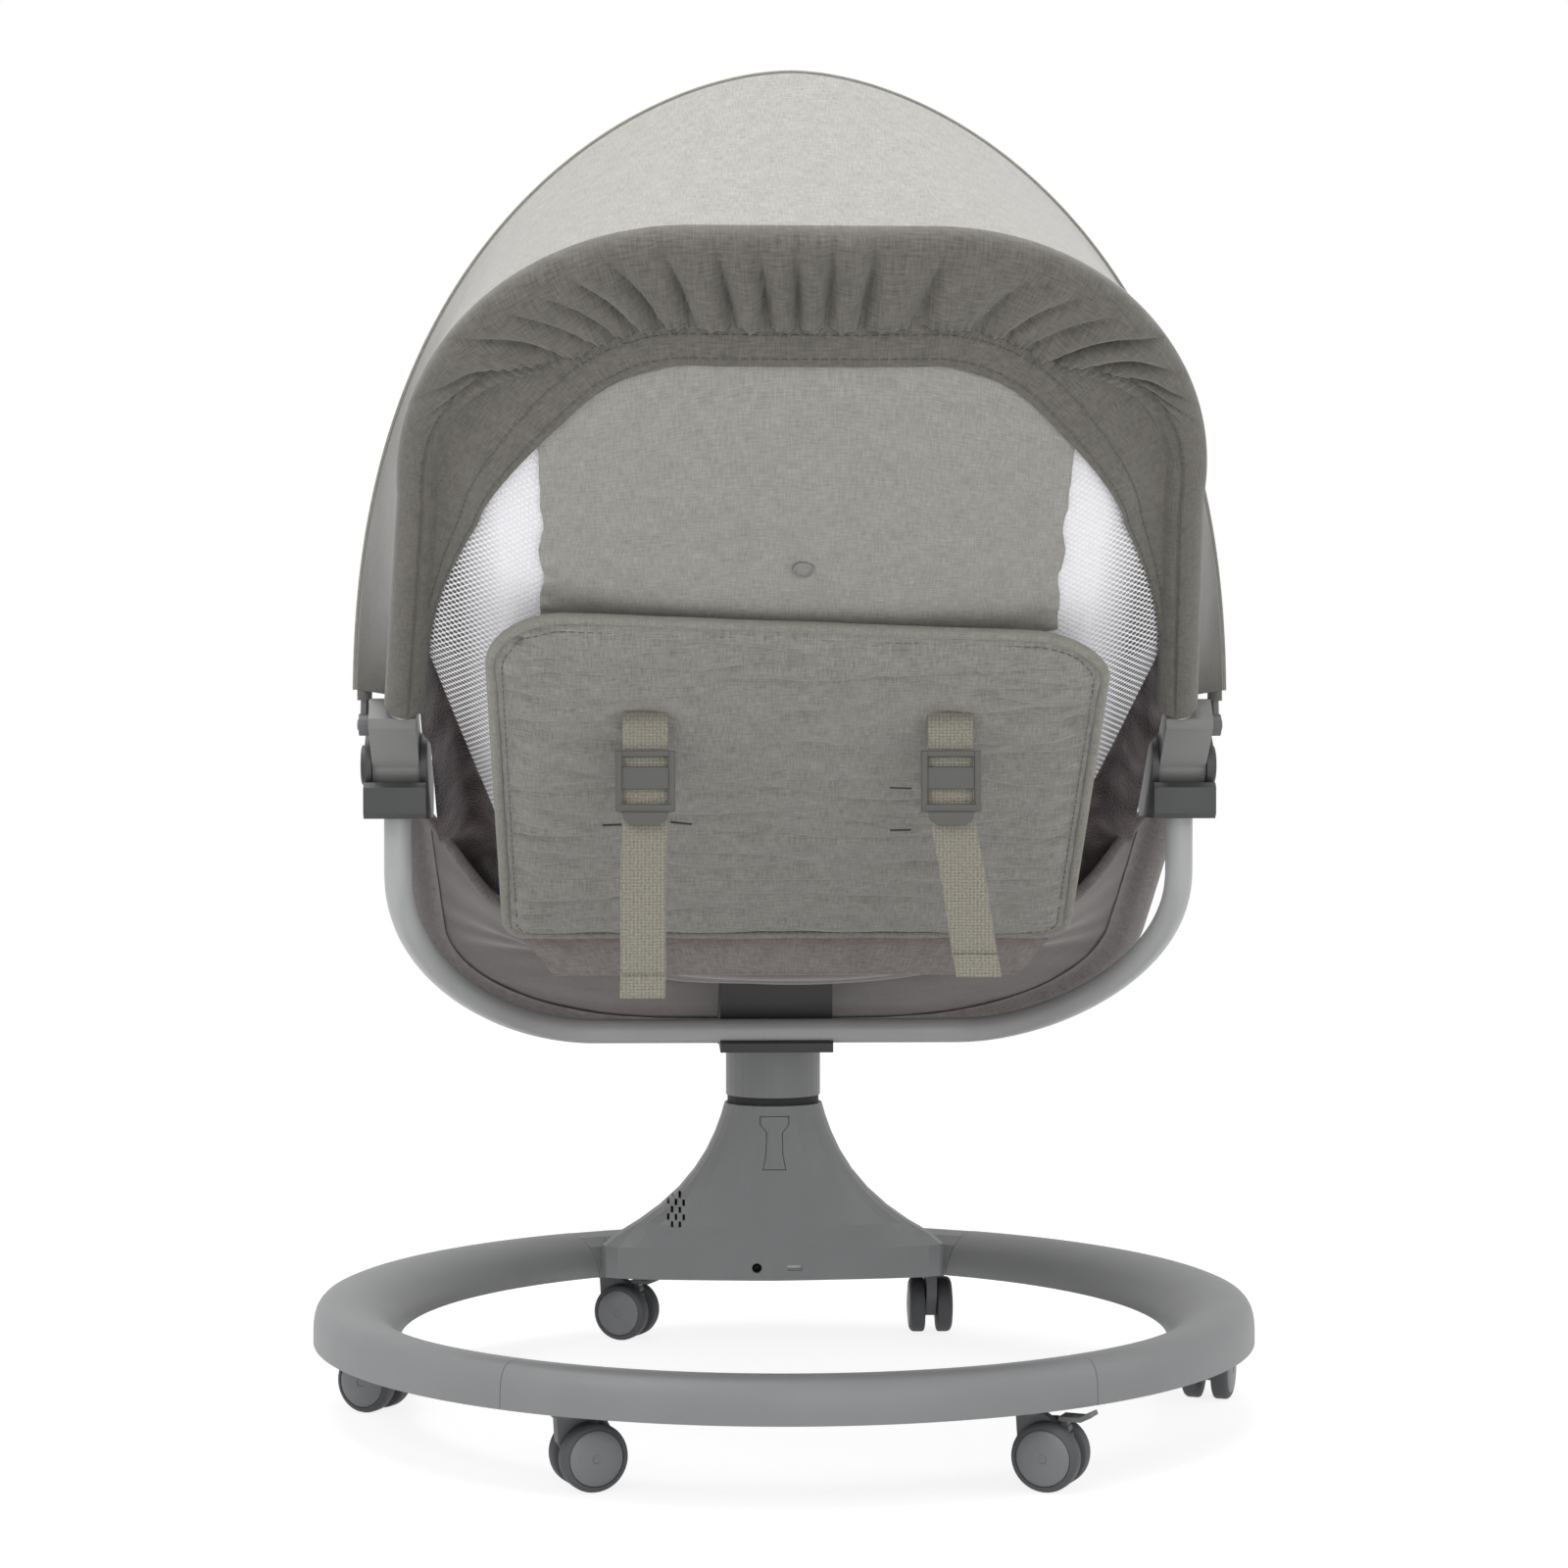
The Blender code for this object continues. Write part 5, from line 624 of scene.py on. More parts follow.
# Casters: rubber tyres, hard discs and a steel axle.
caster = {
    "headings": (200, 150, 155, 270, 250, 155), "radius": 19 * mm, "inner": 4.2 * mm, "outer": 14.7 * mm,
    "discRadius": 15.4 * mm, "hub": 2.2 * mm, "axle": 2.4 * mm,
}
for number, heading in enumerate(caster["headings"], 1):
    low, high = (Vector(corner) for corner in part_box(f"caster_{number}_wheels"))
    centre = (low + high) / 2
    turn = math.radians(heading)
    side = Vector((-math.sin(turn), math.cos(turn), 0))
    r, a, b, d = caster["radius"], caster["inner"], caster["outer"], caster["discRadius"]
    tyre = [(caster["axle"], a), (r - 1.6 * mm, a), (r - 0.5 * mm, a + 0.5 * mm), (r, a + 1.6 * mm),
            (r, b - 3.4 * mm), (r - 0.4 * mm, b - 2.0 * mm), (r - 1.3 * mm, b - 0.9 * mm),
            (r - 2.5 * mm, b - 0.3 * mm), (d + 0.3 * mm, b), (d, b - 0.8 * mm)]
    disc = [(d - 0.05 * mm, b - 1.2 * mm), (d - 0.2 * mm, b - 0.4 * mm), (d - 0.9 * mm, b + 0.1 * mm),
            (d * 0.6, b + 0.7 * mm), (caster["hub"] + 0.5 * mm, b + 0.9 * mm),
            (caster["hub"], b + 0.4 * mm), (0.0, b + 0.35 * mm)]
    for sign, label in ((1, "a"), (-1, "b")):
        stands = [f"caster_{number}_wheels"] if sign == 1 else []
        wheel = spun(f"wheel{number}{label}", tyre, centre, side * sign, treadRubber)
        cap = spun(f"wheelDisc{number}{label}", disc, centre, side * sign, mouldedDisc)
        fit(wheel, f"wheels_{number}", "tread_rubber", *stands)
        fit(cap, f"wheels_{number}", "caster_plastic")
    reach = side * caster["inner"] * 1.3
    axle = tubePiece(f"axle{number}", [centre - reach, centre + reach], caster["axle"], machinedSteel)
    fit(axle, f"wheels_{number}", "steel")
print("base and casters made")

# Painted frame tubes.
carrier = {
    "runY": -196.283 * mm, "runZ": 219 * mm, "bend": 110 * mm, "stand": 60 * mm, "end": 23 * mm,
    "setback": 3 * mm,
}


def carrierPath():
    top, stand = joint["z"] - carrier["end"], joint["z"] - carrier["stand"]
    bendTop = carrier["runZ"] + carrier["bend"]
    back = joint["y"] + carrier["setback"]

    def depth(z):
        share = min(1.0, max(0.0, (z - carrier["runZ"]) / (stand - carrier["runZ"])))
        return carrier["runY"] + (back - carrier["runY"]) * math.sin(math.pi / 2 * share)

    side = [(joint["out"], depth(z), z) for z in np.linspace(top, bendTop, 16)[:-1]]
    for k in range(33):
        angle = math.pi / 2 * k / 32
        z = bendTop - carrier["bend"] * math.sin(angle)
        side.append((joint["out"] - carrier["bend"] * (1 - math.cos(angle)), depth(z), z))
    return side + [(-x, y, z) for x, y, z in reversed(side)]


legPath = [legPoint(half, reach, 0) for half, reach in loopOutline(legLoop, 22 * mm)]
backPath = [backPoint(half, reach, 0) for half, reach in loopOutline(backLoop, 28 * mm)]
for name, path, body, node in (("carrierTube", carrierPath(), "swing", "carrier_tube"),
                               ("legTube", legPath, "swing", "leg_frame_tube"),
                               ("backTube", backPath, "back", "back_frame_tube")):
    fit(tubePiece(name, spread(path, 220), tubeRadius, paintedTube, 28), body, "tube_metal", node)
print("tubes made")

# The back: net, binding and centre panel.
back = {
    "sag": 36 * mm, "sagRun": 160 * mm, "below": 108 * mm, "lowerHalf": 160 * mm, "follow": 110 * mm,
    "netEdge": 0.9 * mm, "sleeve": 9.1 * mm, "netTo": -92 * mm,
    "flange": (13 * mm, 58 * mm), "flangeFrom": 110 * mm, "flangeTo": 350 * mm,
    "panelHalf": 141 * mm, "panelFrom": 150 * mm, "panelTo": 348 * mm, "panelArch": 42 * mm,
    "panelLift": 2.9 * mm, "snapReach": 208 * mm,
}


def backHalf(reach):
    inset = tubeRadius + back["netEdge"]
    if reach >= back["follow"]:
        return loopHalf(backLoop, reach, inset)
    share = (back["follow"] - reach) / (back["follow"] + back["below"])
    return loopHalf(backLoop, back["follow"], inset) * (1 - share) + back["lowerHalf"] * share


def backSag(x, reach):
    share = min(1.0, max(0.0, (backLoop["length"] - tubeRadius - reach) / back["sagRun"]))
    across = min(1.0, abs(x) / max(backHalf(reach), 1e-6))
    return back["sag"] * (1 - (1 - share) ** 2) * (1 - across ** 3.5)


def backSheet(fromReach, toReach, rows, columns, half, lift, arch=0.0):
    # arch is how much lower the upper edge is at its two ends
    def place(up, over):
        across = math.sin(math.pi / 2 * (2 * over - 1))
        reach = fromReach + (toReach - arch * across ** 2 - fromReach) * up
        x = half(reach) * across
        return backPoint(x, reach, backSag(x, reach) + lift(x, reach))

    return gridOf(rows, columns, place)


netTop = backLoop["length"] - tubeRadius - 1.8 * mm
net = gridPiece("backNet", backSheet(back["netTo"], netTop, 90, 90, backHalf,
                                     lambda x, r: 0.6 * mm * ripple(x / 0.03, r / 0.05)), whiteNetting)
fit(net, "back", "white_mesh", "back_mesh")

tubeLine = spread(loopOutline(backLoop, 52 * mm), 241)
tubeOut = outward(tubeLine)


def roundTube(half, reach, ex, er, radius, wobble=None):
    # the cloth's way round a tube, from its inner side over its front and its outside to its rear
    arc = []
    for degrees in range(-190, 71, 13):
        angle = math.radians(degrees)
        side = (radius + (wobble(degrees) if wobble else 0)) * math.cos(angle)
        arc.append((half + ex * side, reach + er * side, radius * math.sin(angle)))
    return arc


def bindingSection(half, reach, ex, er, share):
    # round the tube and then inwards over the net's edge
    radius = back["sleeve"]
    low, high = back["flange"]
    flange = low + (high - low) * smooth(back["flangeFrom"], back["flangeTo"], reach)
    section = roundTube(half, reach, ex, er, radius)
    for k in range(1, 15):
        inset = flange * k / 14
        x, r = half - ex * inset, reach - er * inset
        # the wide part lies over the centre panel, and the narrow part is drawn in small pleats
        wide = smooth(22 * mm, 44 * mm, flange)
        low = backSag(x, r) + 1.5 * mm + 3.2 * mm * wide * smooth(20 * mm, 36 * mm, inset)
        ease = smooth(2 * mm, 16 * mm, inset)
        crease = 0.7 * mm * ripple(share * 60, inset / 0.02, 3.0) * ease * wide
        crease += 0.9 * mm * math.sin(share * 520 + 3 * ripple(share * 40, 1.0)) * ease * (1 - wide)
        section.append((x, r, max(low, radius * 0.97 * (1 - ease) + low * ease) + crease * 0.6 + 0.4 * mm))
    return [backPoint(*p) for p in section]


count = len(tubeLine)
bindingGrid = np.array([bindingSection(*tubeLine[k], *tubeOut[k], k / (count - 1)) for k in range(count)])
# the binding takes the canvas painted darker, as shade under the canopy's skirt
binding = gridPiece("backBinding", bindingGrid, paintedShadeCanvas)
fit(binding, "back", "heather_cloth")
behind = backPoint(0, 0, 1) - backPoint(0, 0, 0)
for name, column in (("bindingStitchInner", -2), ("bindingStitchOuter", -5)):
    line = bindingGrid[6:-6, column] + behind * 0.3 * mm
    fit(stitches(name, line, behind), "back", "webbing")


def panelLift(x, reach):
    # pulled cloth: a standing crease above the snap and puckers along both cut sides
    edge = smooth(back["panelHalf"] - 14 * mm, back["panelHalf"], abs(x))
    pucker = 1.2 * mm * edge * math.sin(reach / (2.4 * mm) + 3 * ripple(reach / 0.02, 4.0))
    soft = 1.6 * mm * ripple(x / 0.06, reach / 0.045, 7.0) + 0.9 * mm * ripple(x / 0.02, reach / 0.07, 2.0)
    slack = 1 - smooth(back["panelTo"] - 90 * mm, back["panelTo"] - 50 * mm, reach)
    above = smooth(200 * mm, 225 * mm, reach)
    crease = 1.6 * mm * math.exp(-(((x + 4 * mm) / (10 * mm)) ** 2)) * above * slack
    dent = 1.2 * mm * math.exp(-(x ** 2 + (reach - back["snapReach"]) ** 2) / (9 * mm) ** 2)
    return back["panelLift"] + pucker + soft * (1 - edge) * (0.25 + 0.75 * slack) + crease - dent


def panelHalf(reach):
    share = (reach - back["panelFrom"]) / (back["panelTo"] - back["panelFrom"])
    return back["panelHalf"] + 2.2 * mm * ripple(reach / 0.02, 9.0) - 3 * mm * math.sin(math.pi * share)


panelGrid = backSheet(back["panelFrom"], back["panelTo"], 110, 150, panelHalf, panelLift, back["panelArch"])
# the centre panel takes the canvas painted lighter, as light through it
centrePanel = gridPiece("centrePanel", panelGrid, paintedLightPanelCanvas, 1.0 * mm)
fit(centrePanel, "back", "heather_cloth", "back_panel")

snapSpot = backPoint(0, back["snapReach"], backSag(0, back["snapReach"]) + 3.0 * mm)
snapProfile = ((5.6, -0.8), (5.8, 1.2), (5.4, 1.9), (4.7, 2.1), (4.3, 1.5), (3.8, 1.6), (2.2, 2.5), (0, 2.8))
snap = spun("snapButton", [(radius * mm, height * mm) for radius, height in snapProfile], snapSpot, behind,
            snapPlastic)
fit(snap, "back", "knuckle_plastic", "snap_button")
print("back cloth made")

# Canopy: gathered skirt round the tube, and the crown from there to the hoop.
canopy = {
    "columns": 641, "casingRows": 9, "foldRows": 34, "crownRows": 36, "under": 8,
    "wrap": 10.6 * mm, "over": 5.1 * mm, "hemInset": 37 * mm, "sideInset": 3 * mm, "hemRise": 5.2 * mm,
    "foldPitch": 21 * mm, "foldDepth": 13 * mm, "fan": 0.35, "puckerPitch": 6.5 * mm,
    "puckerDepth": 1.0 * mm, "casing": 9 * mm, "dip": 3.0 * mm,
    "gores": (0.0, 0.09, 0.16, 0.23, 0.3, 0.38, 0.62, 0.7, 0.77, 0.84, 0.91, 1.0),
}
tubeCentre = spread(loopOutline(backLoop, 55 * mm), canopy["columns"])
tubeSide = outward(tubeCentre)
hoopCentre = spread(hoopOutline(20 * mm), canopy["columns"])
hoopSide = outward(hoopCentre)
rearward = np.array((0, math.sin(hoopSlope), -math.cos(hoopSlope)))
tubeLength = np.linalg.norm(np.diff(tubeCentre, axis=0), axis=1).sum()


def skirtColumn(k):
    # from the casing's free edge up to the top of the tube
    half, reach = tubeCentre[k]
    ex, er = tubeSide[k]
    along = tubeLength * (k / (canopy["columns"] - 1) - 0.5)
    gather = 1 - smooth(160 * mm, 203 * mm, abs(half))
    middle = 1 - smooth(135 * mm, 204 * mm, abs(half))
    inset = canopy["sideInset"] + (canopy["hemInset"] - canopy["sideInset"]) * middle
    wrap = canopy["wrap"]
    control = []
    for part in (1.0, 0.55):
        depth = inset * part
        x, r = half - ex * depth, reach - er * depth
        onTube = math.sqrt(max(0.0, wrap ** 2 - depth ** 2))
        out = backSag(x, r) * part + canopy["hemRise"] + (wrap - canopy["hemRise"]) * (1 - part)
        puffed = 1.5 * mm * gather if part < 1 else 0
        control.append((x, r, max(out, onTube, wrap * (1 - part * 0.4)) + puffed))
    for degrees in (82, 58, 35, 12, -10, -32):
        angle = math.radians(degrees)
        side = wrap * math.cos(angle)
        control.append((half + ex * side, reach + er * side, wrap * math.sin(angle)))
    line = rounded(spread(control, canopy["foldRows"]), 4)
    fine = canopy["puckerDepth"] * math.sin(2 * math.pi * along / canopy["puckerPitch"]) * gather
    folds = []
    for i, (x, r, out) in enumerate(line):
        low = 1 - i / (canopy["foldRows"] - 1)  # 1 at the casing, 0 on top of the tube
        # elastic draws the cloth into uneven folds that fan out upwards, each of its own depth and length
        spot = along / (1 + canopy["fan"] * (1 - low))
        uneven = 0.55 * math.sin(spot / (43 * mm) + 1.1) + 0.3 * math.sin(spot / (19 * mm))
        phase = spot / canopy["foldPitch"] + uneven
        own = ripple(math.floor(phase) * 1.7, 3.3)
        puff = abs(math.sin(math.pi * phase)) ** 0.6 - 0.42
        strength = 0.8 + 0.3 * math.sin(spot / (37 * mm) + 2.0) + 0.5 * ripple(phase * 0.8, 9.0)
        grow = smooth(0.02 + 0.3 * own, 0.75, low) * (1 - 0.3 * smooth(0.85, 1.0, low))
        lift = canopy["foldDepth"] * strength * gather * grow * puff + fine * smooth(0.8, 1.0, low)
        lift = max(lift, -(0.9 + 3.4 * low) * mm)
        # folds stand off the tube's round as well as behind it
        aside = lift * 0.4 * smooth(0.0, 0.5, 1 - low)
        folds.append(backPoint(x + ex * aside, r + er * aside, out + lift))
    casing = []
    x0, r0, out0 = line[0]
    for i in range(canopy["casingRows"], 0, -1):
        part = i / canopy["casingRows"]
        x, r = x0 - ex * canopy["casing"] * part, r0 - er * canopy["casing"] * part
        bulge = math.sin(math.pi * min(1.0, part * 1.02))
        slope = 1.4 * mm + 4.5 * mm * part * (1 - gather)
        out = max(out0 - slope, backSag(x, r) + 2.8 * mm) + 2.0 * mm * bulge + fine * (0.4 + 0.6 * bulge)
        casing.append(backPoint(x, r, out))
    return casing + folds


def crownColumn(k, start):
    hoopHalf, height = hoopCentre[k]
    hx, hh = hoopSide[k]
    over = canopy["over"]
    end = hoopPoint(hoopHalf + hx * over, height + hh * over)
    corner = hoopPoint(hoopHalf + hx * over * 0.8, height + hh * over * 0.8) + rearward * over * 0.6
    share = k / (canopy["columns"] - 1)
    span = np.linalg.norm(corner - start)
    inside = -np.array((hx, 0, hh))
    column = []
    for i in range(1, canopy["crownRows"] + 1):
        part = i / canopy["crownRows"]
        line = start + (corner - start) * part
        dip = canopy["dip"] * 4 * part * (1 - part) * min(1.0, span / 0.25)
        pull = 1.1 * mm * ripple(share * 34, part * 1.6, 5.0) * (0.35 + 0.65 * part) * (1 - part ** 8)
        gather = 0.9 * mm * ripple(share * 90, part * 0.8, 1.0) * (1 - smooth(0.0, 0.35, part))
        column.append(line + inside * (dip + pull + gather * 0.7))
    return column + [end]


canopyColumns = []
for k in range(canopy["columns"]):
    folds = skirtColumn(k)
    canopyColumns.append(folds + crownColumn(k, folds[-1]))
canopyGrid = np.array(canopyColumns).transpose(1, 0, 2)
ridgeRow = canopy["casingRows"] + canopy["foldRows"] - 1
canopyNormals = gridNormals(canopyGrid)
canopyUv = gridUv(canopyGrid).reshape(*canopyGrid.shape[:2], 2)


def canopyPiece(name, rowFrom, rowTo, columnFrom, columnTo, material, under=0):
    part = canopyGrid[rowFrom:rowTo + 1, columnFrom:columnTo + 1].copy()
    if under:
        # the seam allowance lies under the next piece
        side = np.array(hoopSide[columnTo - under + 1:columnTo + 1])
        part[:, -under:] -= np.stack((side[:, 0], 0 * side[:, 0], side[:, 1]), axis=1) * 0.7 * mm
    rows, wide = part.shape[:2]
    uv = canopyUv[rowFrom:rowTo + 1, columnFrom:columnTo + 1].reshape(-1, 2)
    thing = addMesh(name, part.reshape(-1, 3), gridFaces(rows, wide), material, uv)
    normals = canopyNormals[rowFrom:rowTo + 1, columnFrom:columnTo + 1].reshape(-1, 3)
    own = np.array([tuple(v.normal) for v in thing.data.vertices])
    if (own * normals).sum() < 0:
        normals = -normals
    thing.data.normals_split_custom_set_from_vertices([tuple(n) for n in normals])
    return thing


# the folded skirt takes the canvas painted darker, as shade in its folds
skirtPiece = canopyPiece("canopySkirt", 0, ridgeRow, 0, canopy["columns"] - 1, paintedShadeCanvas)
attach(skirtPiece, "back")
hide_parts("canopy_fabric")
marks = [int(round(share * (canopy["columns"] - 1))) for share in canopy["gores"]]
for number, (first, last) in enumerate(zip(marks, marks[1:]), 1):
    under = canopy["under"] if last < canopy["columns"] - 1 else 0
    # the crown's gores take the canvas painted lighter, as daylight through it
    gore = canopyPiece(f"canopyGore{number}", ridgeRow, len(canopyGrid) - 1, first, last + under,
                       paintedLightCanopyCanvas, under)
    corners = np.array([canopyGrid[ridgeRow, first], canopyGrid[ridgeRow, last],
                        canopyGrid[-2, first], canopyGrid[-2, last]])
    centre = corners.mean(axis=0)
    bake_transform(gore)

rollPath = [hoopPoint(*spot) for spot in spread(hoopOutline(14 * mm), 200)]
pipingPath = [hoopPoint(*spot) - rearward * 1.5 * mm for spot in hoopCentre + hoopSide * 5.6 * mm]
hoopRoll = tubePiece("hoopRoll", rollPath, 4.3 * mm, paintedLightCanopyCanvas, 18)
hoopPiping = tubePiece("hoopPiping", pipingPath, 1.5 * mm, pipingCloth, 12)
for piece in (hoopRoll, hoopPiping):
    fit(piece, "canopy", "canopy_cloth")
hemLine = canopyGrid[canopy["casingRows"], 4:-4] + behind * 0.4 * mm
hemStitch = fit(stitches("hemStitch", hemLine, behind), "back", "webbing")
print("canopy made")

# Padded board behind the back.
board = {
    "half": 169 * mm, "from": -103 * mm, "to": 187 * mm, "topCorner": 42 * mm, "bottomCorner": 16 * mm,
    "near": 41.2 * mm, "nearFace": 40.4 * mm, "cap": 4 * mm, "voxel": 4.5 * mm, "piping": 3.1 * mm,
    "edge": 2.6 * mm, "wrinkle": 3.22 * mm, "droop": (7 * mm, 18 * mm),
    "slits": ((103 * mm, 12 * mm), (64 * mm, 12 * mm), (-60 * mm, 46 * mm), (-62 * mm, 8 * mm)),
}


def droop(x, reach):
    # the upper edge hangs lower towards one end
    share = min(1.0, max(0.0, (board["half"] - x) / (2 * board["half"])))
    return (board["droop"][0] + board["droop"][1] * share ** 2) * smooth(95 * mm, board["to"], reach)


def boardOutline(shrink, steps=14):
    outline = []
    corners = ((1, board["to"], board["topCorner"], 0), (-1, board["to"], board["topCorner"], 1),
               (-1, board["from"], board["bottomCorner"], 2), (1, board["from"], board["bottomCorner"], 3))
    for side, reach, radius, first in corners:
        x0 = side * (board["half"] - radius)
        r0 = reach - radius if first < 2 else reach + radius
        for k in range(steps):
            angle = math.pi / 2 * (first + k / (steps - 1))
            outline.append((x0 + (radius - shrink) * math.cos(angle),
                            r0 + (radius - shrink) * math.sin(angle)))
    return outline


def puff(piece, cap, voxel):
    # blows the closed form up as cloth, with each point held to a short way
    bpy.context.view_layer.objects.active = piece
    remesh = piece.modifiers.new("even", "REMESH")
    remesh.mode = "VOXEL"
    remesh.voxel_size = voxel
    bake(piece)
    start = points(piece)
    settings = piece.modifiers.new("puff", "CLOTH").settings
    settings.use_pressure = True
    settings.uniform_pressure_force = 4.0
    settings.effector_weights.gravity = 0
    for step in range(1, 21):
        bpy.context.scene.frame_set(step)
    bake(piece)
    bpy.context.scene.frame_set(1)
    move = points(piece) - start
    far = np.linalg.norm(move, axis=1, keepdims=True)
    moveTo(piece, start + move * np.minimum(1.0, cap / np.maximum(far, 1e-9)))
    finer = piece.modifiers.new("finer", "SUBSURF")
    finer.levels = finer.render_levels = 1
    bake(piece)
    piece.data.shade_smooth()


def clothUv(piece, across, along):
    # lays the cloth's threads out flat in two directions
    setUv(piece.data, points(piece) @ np.array((across, along)).T)


upTheBack = backPoint(0, 1, 0) - backPoint(0, 0, 0)
sections = []
for shrink, height in ((16, 0.0), (7, 0.4), (3.5, 2.2), (2.6, 5.3), (3.5, 8.4), (7, 10.2), (16, 10.6)):
    sections.append([backPoint(x, r, board["near"] + height * mm) for x, r in boardOutline(shrink * mm)])
padded = addMesh("paddedBoard", np.concatenate(sections), closedFaces(len(sections), len(sections[0])),
                 melangeCanvas)
puff(padded, board["cap"], board["voxel"])
# the blown form is drawn back out to the cut size, so that its edge stays under the piping
rest = points(padded) - backPoint(0, 0, 0)
widest = np.abs(rest[:, 0]).max()
lowest, highest = (rest @ upTheBack).min(), (rest @ upTheBack).max()
for vertex, spot in zip(padded.data.vertices, rest):
    share = (spot @ upTheBack - lowest) / (highest - lowest)
    reach = board["from"] + board["edge"] + (board["to"] - board["from"] - 2 * board["edge"]) * share
    x = spot[0] / widest * (board["half"] - board["edge"])
    vertex.co = backPoint(x, reach, spot @ behind)
for vertex in padded.data.vertices:
    rel = np.array(vertex.co) - backPoint(0, 0, 0)
    reach, out = rel @ upTheBack, rel @ behind
    sideways = board["half"] - abs(rel[0])
    edge = min(sideways, board["to"] - reach, reach - board["from"])
    inside = smooth(3 * mm, 16 * mm, edge)
    face = smooth(46 * mm, 50 * mm, out)
    # light creases lie across the board, with a sunk seam just inside the piping
    crease = 0.5 * (ripple(rel[0] / 0.09, reach / 0.013, 2.0) + ripple(rel[0] / 0.05, reach / 0.024, 6.0))
    for part, (wide, tall) in enumerate(((0.13, 0.020), (0.09, 0.027))):
        crease -= 0.62 * math.exp(-(ripple(rel[0] / wide, reach / tall, 11.0 + part) / 0.11) ** 2)
    nearSide = 1 - smooth(10 * mm, 48 * mm, sideways)
    crease += 0.45 * math.sin(reach / (2.3 * mm) + 3 * ripple(reach / 0.03, 5.0)) * nearSide
    # the straps pull the cloth in where they come out
    tug = sum(1.4 * mm * math.exp(-((rel[0] - s * 84 * mm) ** 2 / (16 * mm) ** 2)
                                  - (reach - 106 * mm) ** 2 / (10 * mm) ** 2) for s in (1, -1))
    seam = -1.3 * mm * math.exp(-((edge - 7.5 * mm) / (1.6 * mm)) ** 2)
    shift = (board["wrinkle"] * crease * inside - tug + seam) * face
    shift += max(0.0, board["nearFace"] - out)
    vertex.co = np.array(vertex.co) + behind * shift - upTheBack * droop(rel[0], reach)
clothUv(padded, (1, 0, 0), upTheBack)
fit(padded, "back", "heather_cloth", "padded_panel")
edgeLine = boardOutline(1.4 * mm, 18)
edgeLine.append(edgeLine[0])
edgePath = spread([backPoint(x, r - droop(x, r), 47.6 * mm) for x, r in edgeLine], 300)
edgePath = np.array([p + behind * 0.5 * mm * ripple(k / 9, 2.0) for k, p in enumerate(edgePath)])
boardPiping = tubePiece("boardPiping", edgePath, board["piping"], pipingCloth, 14)
seamLine = boardOutline(7.5 * mm, 18)
seamLine.append(seamLine[0])
paddedFace = BVHTree.FromPolygons([v.co for v in padded.data.vertices],
                                  [p.vertices for p in padded.data.polygons])


def onBoard(x, reach, lift):
    # the point on the board's rear face behind this place, raised by lift
    hit = paddedFace.ray_cast(Vector(backPoint(x, reach, 95 * mm)), Vector(-behind))[0]
    return np.array(hit) + behind * lift


seamPath = spread([onBoard(x, r - droop(x, r), 0.25 * mm) for x, r in seamLine], 300)
boardStitch = stitches("boardStitch", seamPath, behind)
slits = []
for number, (x, r) in enumerate(board["slits"], 1):
    # bound slits beside the straps, through which they can come out elsewhere; each is a thin dark bar, the
    # painted shade in the slit's opening
    line = [onBoard(x + d * mm, r, 0.1 * mm) for d in (-6, -3, 0, 3, 6)]
    slits.append(tubePiece(f"boardSlitPaintedShade{number}", spread(line, 14), 0.7 * mm, mouldedBracket, 8))
for piece in (boardPiping, boardStitch, *slits):
    fit(piece, "back", "heather_cloth")
print("padded board made")

# Straps and ladder locks.
strap = {
    "width": 25 * mm, "thick": 1.4 * mm, "out": 84 * mm, "reach": 107 * mm, "face": 55.45 * mm,
    "lift": 3 * mm, "drops": (152 * mm, 141 * mm), "leans": (2 * mm, -16 * mm), "fold": 13 * mm,
    "lockDrop": 16 * mm, "lockHeight": 34 * mm, "lockWidth": 33 * mm, "lockThick": 2.6 * mm, "bar": 4.5 * mm,
    "section": ((-1, 0), (-0.975, 0.7), (-0.9, 1), (-0.45, 1.08), (0, 1.1), (0.45, 1.08), (0.9, 1),
                (0.975, 0.7)),
}


def roundedBar(bm, low, high, bevel):
    low, high = Vector(low), Vector(high)
    made = bmesh.ops.create_cube(bm, size=1, matrix=Matrix.Translation((low + high) / 2)
                                 @ Matrix.Diagonal((*(high - low), 1)))
    edges = list({edge for vert in made["verts"] for edge in vert.link_edges})
    bmesh.ops.bevel(bm, geom=edges, offset=bevel, segments=3, affect="EDGES", profile=0.6)


def webbingPiece(name, grid, *stands):
    thing = addMesh(name, grid.reshape(-1, 3), closedFaces(*grid.shape[:2]), ribbedWebbing)
    clothUv(thing, (1, 0, 0), (0, 0.3, 1))
    return fit(thing, "back", "webbing", *stands)


